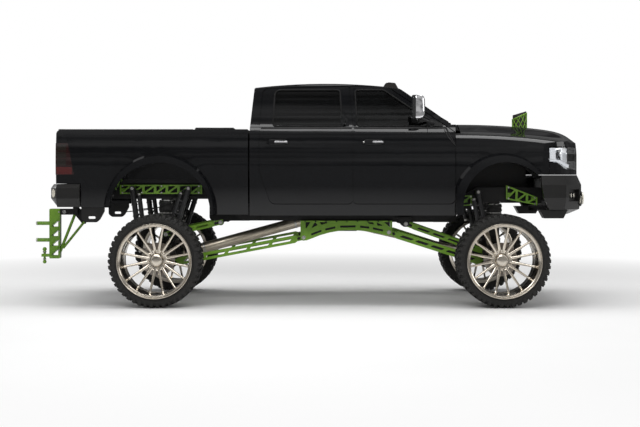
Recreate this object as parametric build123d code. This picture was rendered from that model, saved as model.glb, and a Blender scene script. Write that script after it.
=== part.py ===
from build123d import *
import math
import os

# Crew-cab pickup with a long wheelbase on a very tall suspension lift.
# Millimetres. +X points forward, +Y to the driver's left, +Z up. The origin is on the ground, at the
# middle of the overall length and width.

# ---- driving dimensions -------------------------------------------------------------------------
WHEELBASE = 3785
REAR_AXLE_X = -1602.5
FRONT_AXLE_X = REAR_AXLE_X + WHEELBASE
TYRE_RADIUS = 508
TYRE_WIDTH = 394
TYRE_Y = 1024
BEAD_RADIUS = 384
LIP_RADIUS = 409
LIP_Y = 1240
HUB_FACE_Y = 923
SPOKES = 16
SPOKE_RING_RADIUS = 360
KINGPIN_Y = 770
TIE_ROD_AHEAD = 200

BODY_HALF = 988
WAIST_Z = 1600
SILL_Z = 995
BELT_Z = 1966
RAIL_TOP_Z = 2440
ROOF_Z = 2493
GLASS_BASE_HALF = 938
ROOF_HALF = 750
DOOR_BOTTOM_Z = 1126
CAB_FLOOR_Z = 1150
CAB_REAR_X = -586
FRONT_CUT_X = 1674
B_CUT_X = 550
C_CUT_X = -476
CUT_LEAN = 36
SCREEN_BASE_X = 1674
SCREEN_SLOPE = 0.70
SKIN = 22
LOWER_WALL = 100
UPPER_WALL = 45
DOOR_STEP = 25
PANEL_GAP = 8

BED_FRONT_X = -603
BED_REAR_X = -2711
BED_RAIL_Z = 1938
BED_FLOOR_Z = 1425
BED_FLOOR_THICK = 30
BED_WALL = 120
BED_TAIL_Z = 1085
REAR_BUMPER_FRONT = -2446
REAR_BUMPER_TOP = 1340
TAILGATE_THICK = 62

HOOD_REAR_X = 1760
HOOD_REAR_Z = 2018
HOOD_EDGE_Z = 1902
HOOD_HALF = 830
HOOD_THICK = 30
HOOD_AXIS_X = HOOD_REAR_X - 7
HOOD_AXIS_Z = HOOD_REAR_Z - 4
HOOD_HINGE_Y = (-300, 300)
NOSE_X = 3085
NOSE_SWEEP = 200
FENDER_WALL = 45
HEADLAMP_X = 2712
BUMPER_X = 3140

REAR_ARCH_X = -1568
REAR_ARCH_Z = 1022
REAR_ARCH_RADIUS = 555
FRONT_ARCH_X = 2228
FRONT_ARCH_Z = 1112
FRONT_ARCH_RADIUS = 469
REAR_FLARE_Z = 1064
REAR_FLARE_RADIUS = 622
FRONT_FLARE_Z = 1132
FRONT_FLARE_RADIUS = 559
FLARE_Y = 1060

FRAME_Y = 440
FRAME_WIDTH = 80
FRAME_DEPTH = 175
FRAME_TOP_REAR = 1345
FRAME_TOP_MID = 1100
FRAME_TOP_FRONT = 1300
TRUSS_Y = 566
TRUSS_THICK = 24

GEARBOX_REAR = 150
GEARBOX_FRONT = 1760
GEARBOX_Z = 895
FRONT_PINION_Y = 200
PINION_REACH = 188
HITCH_X = -2917
HITCH_HALF = 62
GAP = 0.3


# ---- shape helpers ------------------------------------------------------------------------------
def loop(corners, place):
    """Closed wire through corners (a, b) or (a, b, radius), put into space by place(a, b)."""
    spans = []
    for i, corner in enumerate(corners):
        here = Vector(corner[0], corner[1])
        radius = corner[2] if len(corner) == 3 else 0
        if not radius:
            spans.append((here, here, here))
            continue
        back = (Vector(*corners[i - 1][:2]) - here).normalized()
        ahead = (Vector(*corners[(i + 1) % len(corners)][:2]) - here).normalized()
        half = math.acos(max(-1, min(1, back.dot(ahead)))) / 2
        reach = radius / math.tan(half)
        middle = here + (back + ahead).normalized() * (radius / math.sin(half) - radius)
        spans.append((here + back * reach, middle, here + ahead * reach))
    edges = []
    for i, (start, middle, end) in enumerate(spans):
        following = spans[(i + 1) % len(spans)][0]
        if (end - start).length > 1e-6:
            edges.append(Edge.make_three_point_arc(place(start), place(middle), place(end)))
        if (following - end).length > 1e-6:
            edges.append(Edge.make_line(place(end), place(following)))
    return Wire(edges)


def prism(corners, place, sweep, holes=()):
    face = Face(loop(corners, place), [loop(hole, place) for hole in holes])
    return Solid.extrude(face, Vector(*sweep))


def side_prism(corners, y0, y1, holes=()):
    """Outline in X and Z, from y0 to y1."""
    return prism(corners, lambda p: Vector(p.X, y0, p.Y), (0, y1 - y0, 0), holes)


def plan_prism(corners, z0, z1, holes=()):
    """Outline in X and Y, from z0 to z1."""
    return prism(corners, lambda p: Vector(p.X, p.Y, z0), (0, 0, z1 - z0), holes)


def cross_prism(corners, x0, x1, holes=()):
    """Outline in Y and Z, from x0 to x1."""
    return prism(corners, lambda p: Vector(x0, p.X, p.Y), (x1 - x0, 0, 0), holes)


def block(x0, x1, y0, y1, z0, z1):
    return Pos((x0 + x1) / 2, (y0 + y1) / 2, (z0 + z1) / 2) * Box(abs(x1 - x0), abs(y1 - y0), abs(z1 - z0))


def rod(start, end, radius):
    """Round bar between two points."""
    start = Vector(*start)
    end = Vector(*end)
    return Solid.make_cylinder(radius, (end - start).length, Plane(start, z_dir=(end - start).normalized()))


def turned(profile, x, z):
    """Solid of revolution about the Y axis through (x, z), from (y, radius) corners."""
    face = Face(loop(profile, lambda p: Vector(x + p.Y, p.X, z)))
    return Solid.revolve(face, 360, Axis((x, 0, z), (0, 1, 0)))


def sheet_solid(point, a_span, b_span, sweep, steps=14):
    """Solid between the smooth sheet point(a, b) and the same sheet moved by sweep."""
    grid = []
    for i in range(steps + 1):
        a = a_span[0] + (a_span[1] - a_span[0]) * i / steps
        row = [Vector(*point(a, b_span[0] + (b_span[1] - b_span[0]) * j / steps)) for j in range(steps + 1)]
        grid.append(row)
    return Solid.extrude(Face.make_surface_from_array_of_points(grid), Vector(*sweep))


def grow(corners, distance):
    """Outline moved outward by distance (inward if negative), corner radii kept in step."""
    area = sum(a[0] * b[1] - b[0] * a[1] for a, b in zip(corners, corners[1:] + corners[:1]))
    side = 1 if area > 0 else -1
    moved = []
    for i, corner in enumerate(corners):
        here = Vector(corner[0], corner[1])
        into = (here - Vector(*corners[i - 1][:2])).normalized()
        out = (Vector(*corners[(i + 1) % len(corners)][:2]) - here).normalized()
        normal_in = Vector(into.Y, -into.X) * side
        normal_out = Vector(out.Y, -out.X) * side
        shift = (normal_in + normal_out) * (distance / (1 + normal_in.dot(normal_out)))
        turn = (into.X * out.Y - into.Y * out.X) * side
        radius = corner[2] if len(corner) == 3 else 0
        radius = max(radius + (distance if turn > 0 else -distance), 1) if radius else 0
        moved.append((here.X + shift.X, here.Y + shift.Y, radius))
    return moved


def both_sides(shape):
    return [shape, mirror(shape, about=Plane.XZ)]


def fuse(*shapes):
    return Part() + list(shapes)


def slanted_slots(start, end, neck, count, half):
    """Long slots with slanted ends along the middle of a link."""
    start = Vector(*start)
    end = Vector(*end)
    along = (end - start).normalized()
    across = Vector(-along.Y, along.X)
    first = neck + 60
    pitch = ((end - start).length - 2 * first) / count
    slots = []
    for i in range(count):
        near = first + pitch * i + 12
        far = near + pitch - 44
        spots = [start + along * (distance + rise * 1.2) + across * rise
                 for distance, rise in ((near, -half), (far, -half), (far, half), (near, half))]
        slots.append([(p.X, p.Y, 4) for p in spots])
    return slots


def beam_outline(start, end, depth, nose, neck):
    """Long outline of a link: narrow for the neck beside each eye, full depth between."""
    start = Vector(*start)
    end = Vector(*end)
    along = (end - start).normalized()
    across = Vector(-along.Y, along.X)
    length = (end - start).length
    half = depth / 2
    lower = [(-nose, -nose), (neck, -nose), (neck + 30, -half), (length - neck - 30, -half),
             (length - neck, -nose), (length + nose, -nose)]
    upper = [(distance, -offset) for distance, offset in reversed(lower)]
    corners = []
    for distance, offset in lower + upper:
        spot = start + along * distance + across * offset
        corners.append((spot.X, spot.Y, nose * 0.5))
    return corners


# ---- body surfaces ------------------------------------------------------------------------------
def body_half(z):
    """Half width of the lower body at height z: fullest at the waist, tucked in at sill and belt."""
    if z < WAIST_Z:
        return BODY_HALF - 50 * ((WAIST_Z - z) / (WAIST_Z - SILL_Z)) ** 2
    return BODY_HALF - 32 * ((z - WAIST_Z) / (BELT_Z - WAIST_Z)) ** 2


def glass_half(z):
    """Half width of the greenhouse at height z, leaning in towards the roof."""
    rise = (z - BELT_Z) / (RAIL_TOP_Z - BELT_Z)
    return GLASS_BASE_HALF - (GLASS_BASE_HALF - ROOF_HALF) * max(rise, 0) ** 1.2


def hood_z(x, y):
    """Height of the hood and fender tops: a raised centre, falling to the nose and to the shoulders."""
    centre = HOOD_REAR_Z - 95 * max((x - 1797) / 1237, 0) ** 2 - 64 * max((x - 1797) / 1237, 0) ** 14
    edge = HOOD_EDGE_Z - 100 * max((x - 1730) / 1304, 0) ** 2 - 15 * max((x - 1730) / 1304, 0) ** 8
    out = min(max((abs(y) - 330) / (HOOD_HALF - 330), 0), 1)
    blend = 1 - out * out * (3 - 2 * out)
    shoulder = 42 * max((abs(y) - HOOD_HALF) / 130, 0) ** 2
    return edge + (centre - edge) * blend - shoulder


def nose_x(y, z):
    """Front surface of the nose: bowed in plan and leaning back towards the hood."""
    return NOSE_X - NOSE_SWEEP * (abs(y) / 900) ** 8 - 26 * max((z - 1640) / 220, 0) ** 2


def roof_z(x, y):
    crown = 50 * ((x - 250) / 830) ** 2
    return ROOF_Z - crown - 38 * (abs(y) / 700) ** 2.4


def screen_x(y, z):
    return SCREEN_BASE_X - (z - HOOD_REAR_Z) / SCREEN_SLOPE - 50 * (abs(y) / 800) ** 2


def body_section(inset_low, inset_high, z_low, x0, x1):
    """Cab cross-section from z_low to above the roof, drawn in by the two insets."""
    low = [(body_half(z) - inset_low, z) for z in (z_low, 1150, 1300, 1450, 1600, 1750, 1870, BELT_Z - 2)]
    high = [(glass_half(z) - inset_high, z) for z in (BELT_Z + 6, 2070, 2180, 2290, 2380,
                                                      RAIL_TOP_Z - inset_high)]
    top = (glass_half(RAIL_TOP_Z) - inset_high - 50, ROOF_Z)
    edges = []
    for side in (1, -1):
        edges.append(Edge.make_spline([Vector(x0, side * y, z) for y, z in low]))
        edges.append(Edge.make_line((x0, side * low[-1][0], low[-1][1]),
                                    (x0, side * high[0][0], high[0][1])))
        edges.append(Edge.make_spline([Vector(x0, side * y, z) for y, z in high]))
        edges.append(Edge.make_line((x0, side * high[-1][0], high[-1][1]), (x0, side * top[0], top[1])))
    edges.append(Edge.make_line((x0, low[0][0], z_low), (x0, -low[0][0], z_low)))
    edges.append(Edge.make_line((x0, top[0], top[1]), (x0, -top[0], top[1])))
    return Solid.extrude(Face(Wire(edges)), Vector(x1 - x0, 0, 0))


def cab_body(inset_low, inset_high, z_low, rear, front):
    """Cab volume, drawn in by the insets, between the rear wall and the firewall."""
    shape = body_section(inset_low, inset_high, z_low, rear, front)
    roof = sheet_solid(lambda x, y: (x, y, roof_z(x, y) - inset_high), (-700, 1850), (-1020, 1020),
                       (0, 0, -1700))
    slope = math.hypot(1, 1 / SCREEN_SLOPE)
    screen = sheet_solid(lambda y, z: (screen_x(y, z) - inset_high * slope, y, z), (-1020, 1020),
                         (800, 2620), (-5200, 0, 0))
    lean = rear - CAB_REAR_X
    back = side_prism([(CAB_REAR_X + lean, 900), (CAB_REAR_X + lean, 1938, 400), (-523 + lean, 2600),
                       (1900, 2600), (1900, 900)], -1100, 1100)
    return shape & roof & screen & back


def lower_section(inset, z_low, z_high, x0, x1):
    """Lower body cross-section without a greenhouse, for the bed and the fenders."""
    steps = 8
    low = [z_low + (z_high - z_low) * i / steps for i in range(steps + 1)]
    edges = []
    for side in (1, -1):
        edges.append(Edge.make_spline([Vector(x0, side * (body_half(z) - inset), z) for z in low]))
    for z in (z_low, z_high):
        edges.append(Edge.make_line((x0, body_half(z) - inset, z), (x0, inset - body_half(z), z)))
    return Solid.extrude(Face(Wire(edges)), Vector(x1 - x0, 0, 0))


def nose_body(inset, back=FRONT_CUT_X + PANEL_GAP, sides=None):
    """Front clip volume under the hood surface and behind the nose surface, drawn in by the insets."""
    sides = inset if sides is None else sides
    shape = lower_section(sides, SILL_Z, 2060, back, 3200)
    top = sheet_solid(lambda x, y: (x, y, hood_z(x, y) - inset), (1600, 3120), (-1020, 1020), (0, 0, -1300),
                      30)
    front = sheet_solid(lambda y, z: (nose_x(y, z) - sides, y, z), (-1020, 1020), (900, 2100),
                        (-1600, 0, 0), 24)
    return shape & top & front


def arch_cut(x, z, radius, y0, y1):
    """Wheel-arch opening: round on top and open downwards."""
    return fuse(rod((x, y0, z), (x, y1, z), radius), block(x - radius, x + radius, y0, y1, z - 700, z))


def flare(x, z, outer, opening, front_x, low_z):
    """Bevelled wheel-arch moulding standing out of the side, less its opening."""
    base_y = body_half(WAIST_Z) - 30
    ring = Pos(x, base_y, z) * Rot(-90, 0, 0) * Cone(outer, outer - 36, FLARE_Y - base_y,
                                                     align=(Align.CENTER, Align.CENTER, Align.MIN))
    leg = [(x - outer, base_y), (x + outer, base_y), (x + outer - 36, FLARE_Y), (x - outer + 36, FLARE_Y)]
    shape = fuse(ring, plan_prism(leg, low_z, z)) - opening
    return shape & block(-2690, front_x, base_y - 5, FLARE_Y + 5, low_z, z + outer + 10)


# ---- cab, doors and glass -----------------------------------------------------------------------
HEAD_Z = 2425
DOOR_INNER_Y = 700
SCREEN_Z0 = HOOD_REAR_Z + SCREEN_SLOPE * SCREEN_BASE_X


def under_screen(z, drop):
    """X on a line parallel to the windscreen and drop below it."""
    return (SCREEN_Z0 - drop - z) / SCREEN_SLOPE


FRONT_DOOR = [(B_CUT_X + PANEL_GAP / 2, DOOR_BOTTOM_Z, 50), (FRONT_CUT_X, DOOR_BOTTOM_Z, 60),
              (FRONT_CUT_X, SCREEN_Z0 - 110 - SCREEN_SLOPE * FRONT_CUT_X, 30), (under_screen(HEAD_Z, 110),
                                                                                HEAD_Z, 60),
              (B_CUT_X + PANEL_GAP / 2 - CUT_LEAN, HEAD_Z, 20), (B_CUT_X + PANEL_GAP / 2, BELT_Z)]
REAR_DOOR = [(C_CUT_X + 126, DOOR_BOTTOM_Z, 70), (B_CUT_X - PANEL_GAP / 2, DOOR_BOTTOM_Z, 50),
             (B_CUT_X - PANEL_GAP / 2, BELT_Z), (B_CUT_X - PANEL_GAP / 2 - CUT_LEAN, HEAD_Z, 20),
             (C_CUT_X + 33, HEAD_Z - 22, 70), (C_CUT_X, BELT_Z, 300), (C_CUT_X, 1480, 260)]
WINDOW_LOW_Z = 1984
WINDOW_TOP_Z = 2382
FRONT_WINDOW = [(B_CUT_X + 58, WINDOW_LOW_Z, 25), (FRONT_CUT_X - 300, WINDOW_LOW_Z, 20),
                (FRONT_CUT_X - 300, SCREEN_Z0 - 178 - SCREEN_SLOPE * (FRONT_CUT_X - 300), 25),
                (under_screen(WINDOW_TOP_Z, 178), WINDOW_TOP_Z, 50), (B_CUT_X + 34, WINDOW_TOP_Z, 25)]
REAR_WINDOW = [(C_CUT_X + 152, WINDOW_LOW_Z, 30), (B_CUT_X - 124, WINDOW_LOW_Z, 25),
               (B_CUT_X - 150, WINDOW_TOP_Z, 25), (C_CUT_X + 174, WINDOW_TOP_Z, 60)]
SCREEN_OPENING = [(-800, 2062, 60), (800, 2062, 60), (655, 2378, 60), (-655, 2378, 60)]
BACKLIGHT_OPENING = [(-640, 1990, 60), (640, 1990, 60), (560, 2350, 60), (-560, 2350, 60)]

cab_outer = cab_body(0, 0, SILL_Z, CAB_REAR_X, FRONT_CUT_X + 3)
cab_skin_inside = cab_body(SKIN, SKIN, SILL_Z - 40, CAB_REAR_X + SKIN, FRONT_CUT_X + 3)
cab_hollow = cab_body(LOWER_WALL, UPPER_WALL, SILL_Z - 60, CAB_REAR_X + 60, FRONT_CUT_X + 10)
cab_walls = cab_outer - cab_hollow


HINGE_Y = 988
HINGE_RADIUS = 3.7
HINGE_HEIGHTS = (1400, 1700)
HINGE_LENGTH = 30


def door_knuckles(x, lift, length, neck):
    """Hinge barrels in the panel gap at a door's front edge, each on a neck to what carries it."""
    parts = []
    for z in HINGE_HEIGHTS:
        parts.append(rod((x, HINGE_Y, z + lift), (x, HINGE_Y, z + lift + length), HINGE_RADIUS))
        parts.append(block(neck[0], neck[1], neck[2], neck[3], z + lift, z + lift + length))
    return parts


def make_door(outline, windows):
    """Left door: a full-size outer skin and an inner panel stepped in all round, as thick as the wall."""
    door = cab_walls & side_prism(outline, DOOR_INNER_Y, 1100)
    rebate = side_prism(grow(outline, 30), 500, 1150, [grow(outline, -DOOR_STEP)])
    door = door - (cab_skin_inside & rebate)
    for window in windows:
        door = door - side_prism(window, 500, 1100)
    front = max(corner[0] for corner in outline)
    neck = (front - 3, front + PANEL_GAP / 2, HINGE_Y - 14, HINGE_Y)
    return fuse(door, *door_knuckles(front + PANEL_GAP / 2, HINGE_LENGTH + GAP, HINGE_LENGTH, neck))


def make_pane(outline, depth):
    """Curved side glass set into its window frame."""
    pane = cab_body(depth, depth, SILL_Z, CAB_REAR_X + 10, 1700) - cab_body(depth + 6, depth + 6,
                                                                            SILL_Z - 20, CAB_REAR_X, 1710)
    return pane & side_prism(grow(outline, -GAP), 560, 1100)


def make_cab_shell():
    shell = cab_walls
    for outline in (FRONT_DOOR, REAR_DOOR):
        inner = DOOR_INNER_Y - PANEL_GAP
        for y0, y1 in ((inner, 1150), (-1150, -inner)):
            shell = shell - (side_prism(grow(outline, PANEL_GAP), y0, y1) - cab_skin_inside)
            shell = shell - (side_prism(grow(outline, PANEL_GAP - DOOR_STEP), y0, y1) & cab_skin_inside)
    under_floor = block(CAB_REAR_X - 20, FRONT_CUT_X + 20, -820, 820, SILL_Z - 20, CAB_FLOOR_Z)
    shell = shell - under_floor - cross_prism(SCREEN_OPENING, 900, 1800)
    shell = shell - cross_prism(BACKLIGHT_OPENING, CAB_REAR_X - 40, CAB_REAR_X + 200)
    inner_half = body_half(CAB_FLOOR_Z) - LOWER_WALL - PANEL_GAP
    floor = block(CAB_REAR_X + 50, FRONT_CUT_X + 3, -inner_half, inner_half, CAB_FLOOR_Z, CAB_FLOOR_Z + 35)
    sills = []
    for side in (1, -1):
        sills.append(block(CAB_REAR_X + 50, FRONT_CUT_X + 3, side * (inner_half - 20), side * inner_half,
                           1080, CAB_FLOOR_Z + 5))
        sills.append(block(CAB_REAR_X + 50, FRONT_CUT_X + 3, side * (inner_half - 5),
                           side * (inner_half + 30), 1080,
                           DOOR_BOTTOM_Z - PANEL_GAP))
    firewall = nose_body(FENDER_WALL + 6, FRONT_CUT_X - 20) & block(FRONT_CUT_X - 20, FRONT_CUT_X + 45,
                                                                    -1100, 1100, CAB_FLOOR_Z, 1985)
    cowl = nose_body(0, FRONT_CUT_X - 40) & block(FRONT_CUT_X - 40, HOOD_REAR_X - HOOD_NOSE_GAP,
                                                  6 - HOOD_HALF, HOOD_HALF - 6,
                                                  1940, 2100)
    knuckles = []
    for front in (FRONT_CUT_X, B_CUT_X - PANEL_GAP / 2):
        x = front + PANEL_GAP / 2
        for shape in door_knuckles(x, 0, HINGE_LENGTH, (x - 1, x + 1, HINGE_Y - 62, HINGE_Y)):
            knuckles += both_sides(shape)
    for y in HOOD_HINGE_Y:
        knuckles.append(rod((HOOD_AXIS_X, y - 30, HOOD_AXIS_Z), (HOOD_AXIS_X, y, HOOD_AXIS_Z),
                            HINGE_RADIUS))
        knuckles.append(block(HOOD_AXIS_X - 10, HOOD_AXIS_X, y - 30, y, HOOD_AXIS_Z - 12, HOOD_AXIS_Z))
    return fuse(shell, floor, firewall, cowl, *sills, *knuckles)


def make_screen_glass():
    front = cab_body(8, 8, SILL_Z, CAB_REAR_X, 1720) - cab_body(14, 14, SILL_Z - 20, CAB_REAR_X - 10, 1740)
    front = front & cross_prism(grow(SCREEN_OPENING, -GAP), 900, 1800)
    back = block(CAB_REAR_X - 40, CAB_REAR_X + 200, -700, 700, 1950, 2400)
    back = back & (cab_body(8, 8, SILL_Z, CAB_REAR_X + 12, 900) - cab_body(0, 0, SILL_Z - 20,
                                                                           CAB_REAR_X + 18, 910))
    back = back & cross_prism(grow(BACKLIGHT_OPENING, -GAP), CAB_REAR_X - 60, CAB_REAR_X + 220)
    return [front, back]


# ---- front end ----------------------------------------------------------------------------------
HOOD_NOSE_GAP = 14
FENDER_FRONT_X = HEADLAMP_X - 4
FENDER_TIP_X = 2880
LAMP_TOP_Z = 1748
LAMP_LOW_Z = 1580
FASCIA_LOW_Z = 1443
GRILLE_HALF = 560
FASCIA_BACK_X = 2965

nose_outer = nose_body(0)
nose_inner = nose_body(FENDER_WALL)
nose_deep = nose_body(130)
HOOD_CORNER_X = 2880
HOOD_FRONT_X = 3030
HOOD_FRONT_HALF = 560
HOOD_OUTLINE = [(HOOD_REAR_X, -HOOD_HALF, 60), (HOOD_REAR_X, HOOD_HALF, 60),
                (HOOD_CORNER_X, HOOD_HALF, 60), (HOOD_FRONT_X, HOOD_FRONT_HALF, 260),
                (HOOD_FRONT_X, -HOOD_FRONT_HALF, 260), (HOOD_CORNER_X, -HOOD_HALF, 60)]


def hood_space(front_x):
    """Plan of the room left for the hood, ending at front_x in the middle of the nose."""
    corner_x = HOOD_CORNER_X + HOOD_NOSE_GAP
    half = HOOD_HALF + 6
    return [(1600, -half), (1600, half), (corner_x, half, 60), (front_x, HOOD_FRONT_HALF, 200),
            (front_x, -HOOD_FRONT_HALF, 200), (corner_x, -half, 60)]


HOOD_ROOM = hood_space(HOOD_FRONT_X + HOOD_NOSE_GAP)


def make_hood():
    """Hood panel: the top sheet of the nose inside the seam, ribbed by its own thickness."""
    panel = (nose_outer - nose_body(HOOD_THICK, HOOD_REAR_X - 40, -40)) & plan_prism(HOOD_OUTLINE, 1650,
                                                                                     2100)
    knuckles = []
    for y in HOOD_HINGE_Y:
        knuckles.append(rod((HOOD_AXIS_X, y + GAP, HOOD_AXIS_Z), (HOOD_AXIS_X, y + 30, HOOD_AXIS_Z),
                            HINGE_RADIUS))
        knuckles.append(block(HOOD_AXIS_X, HOOD_REAR_X + 3, y + GAP, y + 30, HOOD_AXIS_Z - 12, HOOD_AXIS_Z))
    return fuse(panel, *knuckles)


def make_fenders():
    """Left and right front fenders with their bevelled arch mouldings."""
    clip = nose_outer - nose_inner
    clip = clip - plan_prism(HOOD_ROOM, 1500, 2100)
    side = [(FRONT_CUT_X + PANEL_GAP, 1005, 20), (FRONT_ARCH_X, 1005), (FENDER_FRONT_X, 1005),
            (FENDER_FRONT_X, LAMP_TOP_Z + 8),
            (FENDER_TIP_X, LAMP_TOP_Z + 8), (FENDER_TIP_X, 2100), (FRONT_CUT_X + PANEL_GAP, 2100)]
    left = clip & side_prism(side, GRILLE_HALF + 6, 1100)
    left = left - arch_cut(FRONT_ARCH_X, FRONT_ARCH_Z, FRONT_ARCH_RADIUS, 300, 1150)
    left = left - block(FRONT_ARCH_X, 3200, 300, 1150, 900, FASCIA_LOW_Z)
    opening = arch_cut(FRONT_ARCH_X, FRONT_ARCH_Z, FRONT_ARCH_RADIUS, 300, 1150)
    moulding = flare(FRONT_ARCH_X - 33, FRONT_FLARE_Z, FRONT_FLARE_RADIUS, opening, FENDER_FRONT_X, 1005)
    moulding = moulding - block(FRONT_ARCH_X, 3200, 300, 1150, 900, FASCIA_LOW_Z)
    moulding = moulding & block(FRONT_CUT_X + PANEL_GAP, FENDER_FRONT_X, 900, 1100, 900, 2000)
    return fuse(left, moulding)


def make_liner():
    """Arched splash liner over a front wheel, and the flat one between bed floor and rear rail."""
    outer = FRONT_ARCH_RADIUS + 24
    ring = rod((FRONT_ARCH_X, 532, FRONT_ARCH_Z), (FRONT_ARCH_X, 938, FRONT_ARCH_Z), outer)
    ring = ring - rod((FRONT_ARCH_X, 500, FRONT_ARCH_Z), (FRONT_ARCH_X, 950, FRONT_ARCH_Z), outer - 8)
    keep = block(FRONT_CUT_X + 90, 2600, 500, 945, 1180, 1700)
    flat = block(-2100, -1000, 600, 606, 1350, BED_FLOOR_Z - BED_FLOOR_THICK)
    return [(ring & keep) & nose_inner, flat]


LAMP_LOWER_EDGE = [(HEADLAMP_X, LAMP_LOW_Z + 6), (2800, LAMP_LOW_Z + 2), (2900, 1508), (3160, 1490)]


def make_headlamps():
    """Wrap-round lamp body filling the corner between fender, grille and bumper."""
    outline = LAMP_LOWER_EDGE + [(3160, LAMP_TOP_Z), (HEADLAMP_X, LAMP_TOP_Z, 12)]
    lamp = (nose_outer - nose_deep) & side_prism(outline, GRILLE_HALF + 6, 1100)
    tab = (nose_body(5) - nose_deep) & block(2600, 3120, GRILLE_HALF + 3, GRILLE_HALF + 7, 1600, 1680)
    return both_sides(fuse(lamp, tab))


def make_fascia():
    """Grille surround: panel across the nose with the grille opening and corner fillers under the lamps."""
    shell = (nose_outer - nose_deep) & block(FENDER_FRONT_X + 4, 3120, -1100, 1100, FASCIA_LOW_Z,
                                             LAMP_TOP_Z + 120)
    shell = shell - plan_prism(HOOD_ROOM, 1780, 2100) - plan_prism(hood_space(FASCIA_BACK_X), 1500, 1800)
    lower = [(x, z - 3) for x, z in LAMP_LOWER_EDGE[1:]]
    lamp_outline = [(HEADLAMP_X - 40, LAMP_LOW_Z - 1)] + lower + [
        (3160, LAMP_TOP_Z + 3), (FENDER_TIP_X + 4, LAMP_TOP_Z + 3), (FENDER_TIP_X + 4, 2300),
        (HEADLAMP_X - 40, 2300)]
    for side in (1, -1):
        shell = shell - side_prism(lamp_outline, side * (GRILLE_HALF + 3), side * 1150)
    opening = [(-470, 1500, 50), (470, 1500, 50), (525, 1620, 60), (500, 1790, 50), (-500, 1790, 50),
               (-525, 1620, 60)]
    tabs = (nose_body(15) - nose_inner) & block(FENDER_FRONT_X, FENDER_FRONT_X + 6, -1000, 1000, 1460, 1500)
    return fuse(shell - cross_prism(opening, 2800, 3200), tabs)


def make_grille():
    """Horizontal bars, a centre post and a backing plate inside the grille opening."""
    plate = (FASCIA_BACK_X - 22 - GAP, FASCIA_BACK_X - GAP)
    bars = [block(*plate, -510, 510, 1503, 1787), block(*plate, -400, 400, 1500, 1790)]
    band = nose_body(14) - nose_body(60)
    for i in range(5):
        z = 1532 + i * 56
        bars.append(band & block(plate[0] - 40, 3100, -468, 468, z - 7, z + 7))
    for y in (-300, 0, 300):
        bars.append(block(plate[1] - 1, plate[1] + 68, y - 9, y + 9, 1505, 1785))
    return fuse(*bars)


BUMPER_FACE_X = 3112
BUMPER_CORNER_X = 2880
BUMPER_CORNER_DEPTH = 348
BUMPER_LAMP_Z = 1180
LAMP_SEAT_X = 3086
FRONT_LAMP_RADIUS = 68
REAR_LAMP_RADIUS = 46


def make_front_bumper():
    """Folded-plate bumper with recessed angled corners, lamp seats in front and a skid lobe below."""
    def outline(front, side_half, corner, back):
        flat = side_half - BUMPER_CORNER_DEPTH
        return [(back, -side_half), (corner, -side_half), (front, -flat), (front, flat),
                (corner, side_half), (back, side_half)]
    tiers = [(FASCIA_LOW_Z - 4, 3066, 1030, 2866, 2612), (1332, BUMPER_FACE_X, 1048, BUMPER_CORNER_X, 2612),
             (1190, BUMPER_FACE_X, 1048, BUMPER_CORNER_X, 2640), (1060, 3096, 1012, 2872, 2700),
             (1003, 2985, 920, 2800, 2700)]
    layers = []
    for upper, lower in zip(tiers, tiers[1:]):
        top = Wire.make_polygon([(x, y, upper[0]) for x, y in outline(*upper[1:])])
        low = Wire.make_polygon([(x, y, lower[0]) for x, y in outline(*lower[1:])])
        layers.append(Solid.make_loft([top, low], True))
    bumper = fuse(*layers)
    inside = outline(3050, 985, 2830, 2500)
    bumper = bumper - plan_prism(inside, 1070, FASCIA_LOW_Z - 30)
    bumper = bumper - plan_prism(outline(2930, 850, 2760, 2500), 990, 1075)
    along = Vector(BUMPER_FACE_X - BUMPER_CORNER_X, -BUMPER_CORNER_DEPTH, 0).normalized()
    outward = Vector(-along.Y, along.X, 0)
    corner = Vector(BUMPER_CORNER_X, 1048, 0)
    pocket = [corner + along * reach + outward * depth
              for reach, depth in ((83, 20), (365, 20), (365, -40), (83, -40))]
    pocket = plan_prism([(p.X, p.Y) for p in pocket], 1150, 1282)
    bumper = bumper - pocket - mirror(pocket, about=Plane.XZ)
    for side in (1, -1):
        lobe = side_prism([(2600, 1056), (2908, 1056), (2860, 965), (2650, 965)], side * 830, side * 990)
        bumper = fuse(bumper, lobe & block(2500, 2905, -990, 990, 960, 1063))
        seat = (LAMP_SEAT_X, side * 640, BUMPER_LAMP_Z)
        bumper = bumper - rod(seat, (3200, seat[1], seat[2]), FRONT_LAMP_RADIUS + 3)
    arms = [block(2700, 3056, side * (FRAME_Y + 2), side * (FRAME_Y + 72), 1150, 1290) for side in (1, -1)]
    return fuse(bumper, *arms)


REAR_BUMPER_BACK = -2783
REAR_CORNER_X = -2700
REAR_CORNER_Y = 1030
REAR_BACK_HALF = 890
REAR_LAMP_WAY = Vector(REAR_BACK_HALF - REAR_CORNER_Y, REAR_CORNER_X - REAR_BUMPER_BACK, 0).normalized()
REAR_LAMP_MIDDLE = Vector((REAR_BUMPER_BACK + REAR_CORNER_X) / 2, (REAR_BACK_HALF + REAR_CORNER_Y) / 2, 1240)


def rear_lamp_rod(near, far, radius):
    """Round bar square to the left corner face of the rear bumper."""
    return rod(REAR_LAMP_MIDDLE + REAR_LAMP_WAY * near, REAR_LAMP_MIDDLE + REAR_LAMP_WAY * far, radius)


def make_bumper_lamps():
    """Round pale lamps in the front bumper's face and in the rear bumper's corners."""
    front = rod((LAMP_SEAT_X + GAP, 640, BUMPER_LAMP_Z), (BUMPER_X, 640, BUMPER_LAMP_Z), FRONT_LAMP_RADIUS)
    rear = rear_lamp_rod(GAP - 22, 5, REAR_LAMP_RADIUS)
    return both_sides(front) + both_sides(rear)


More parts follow.
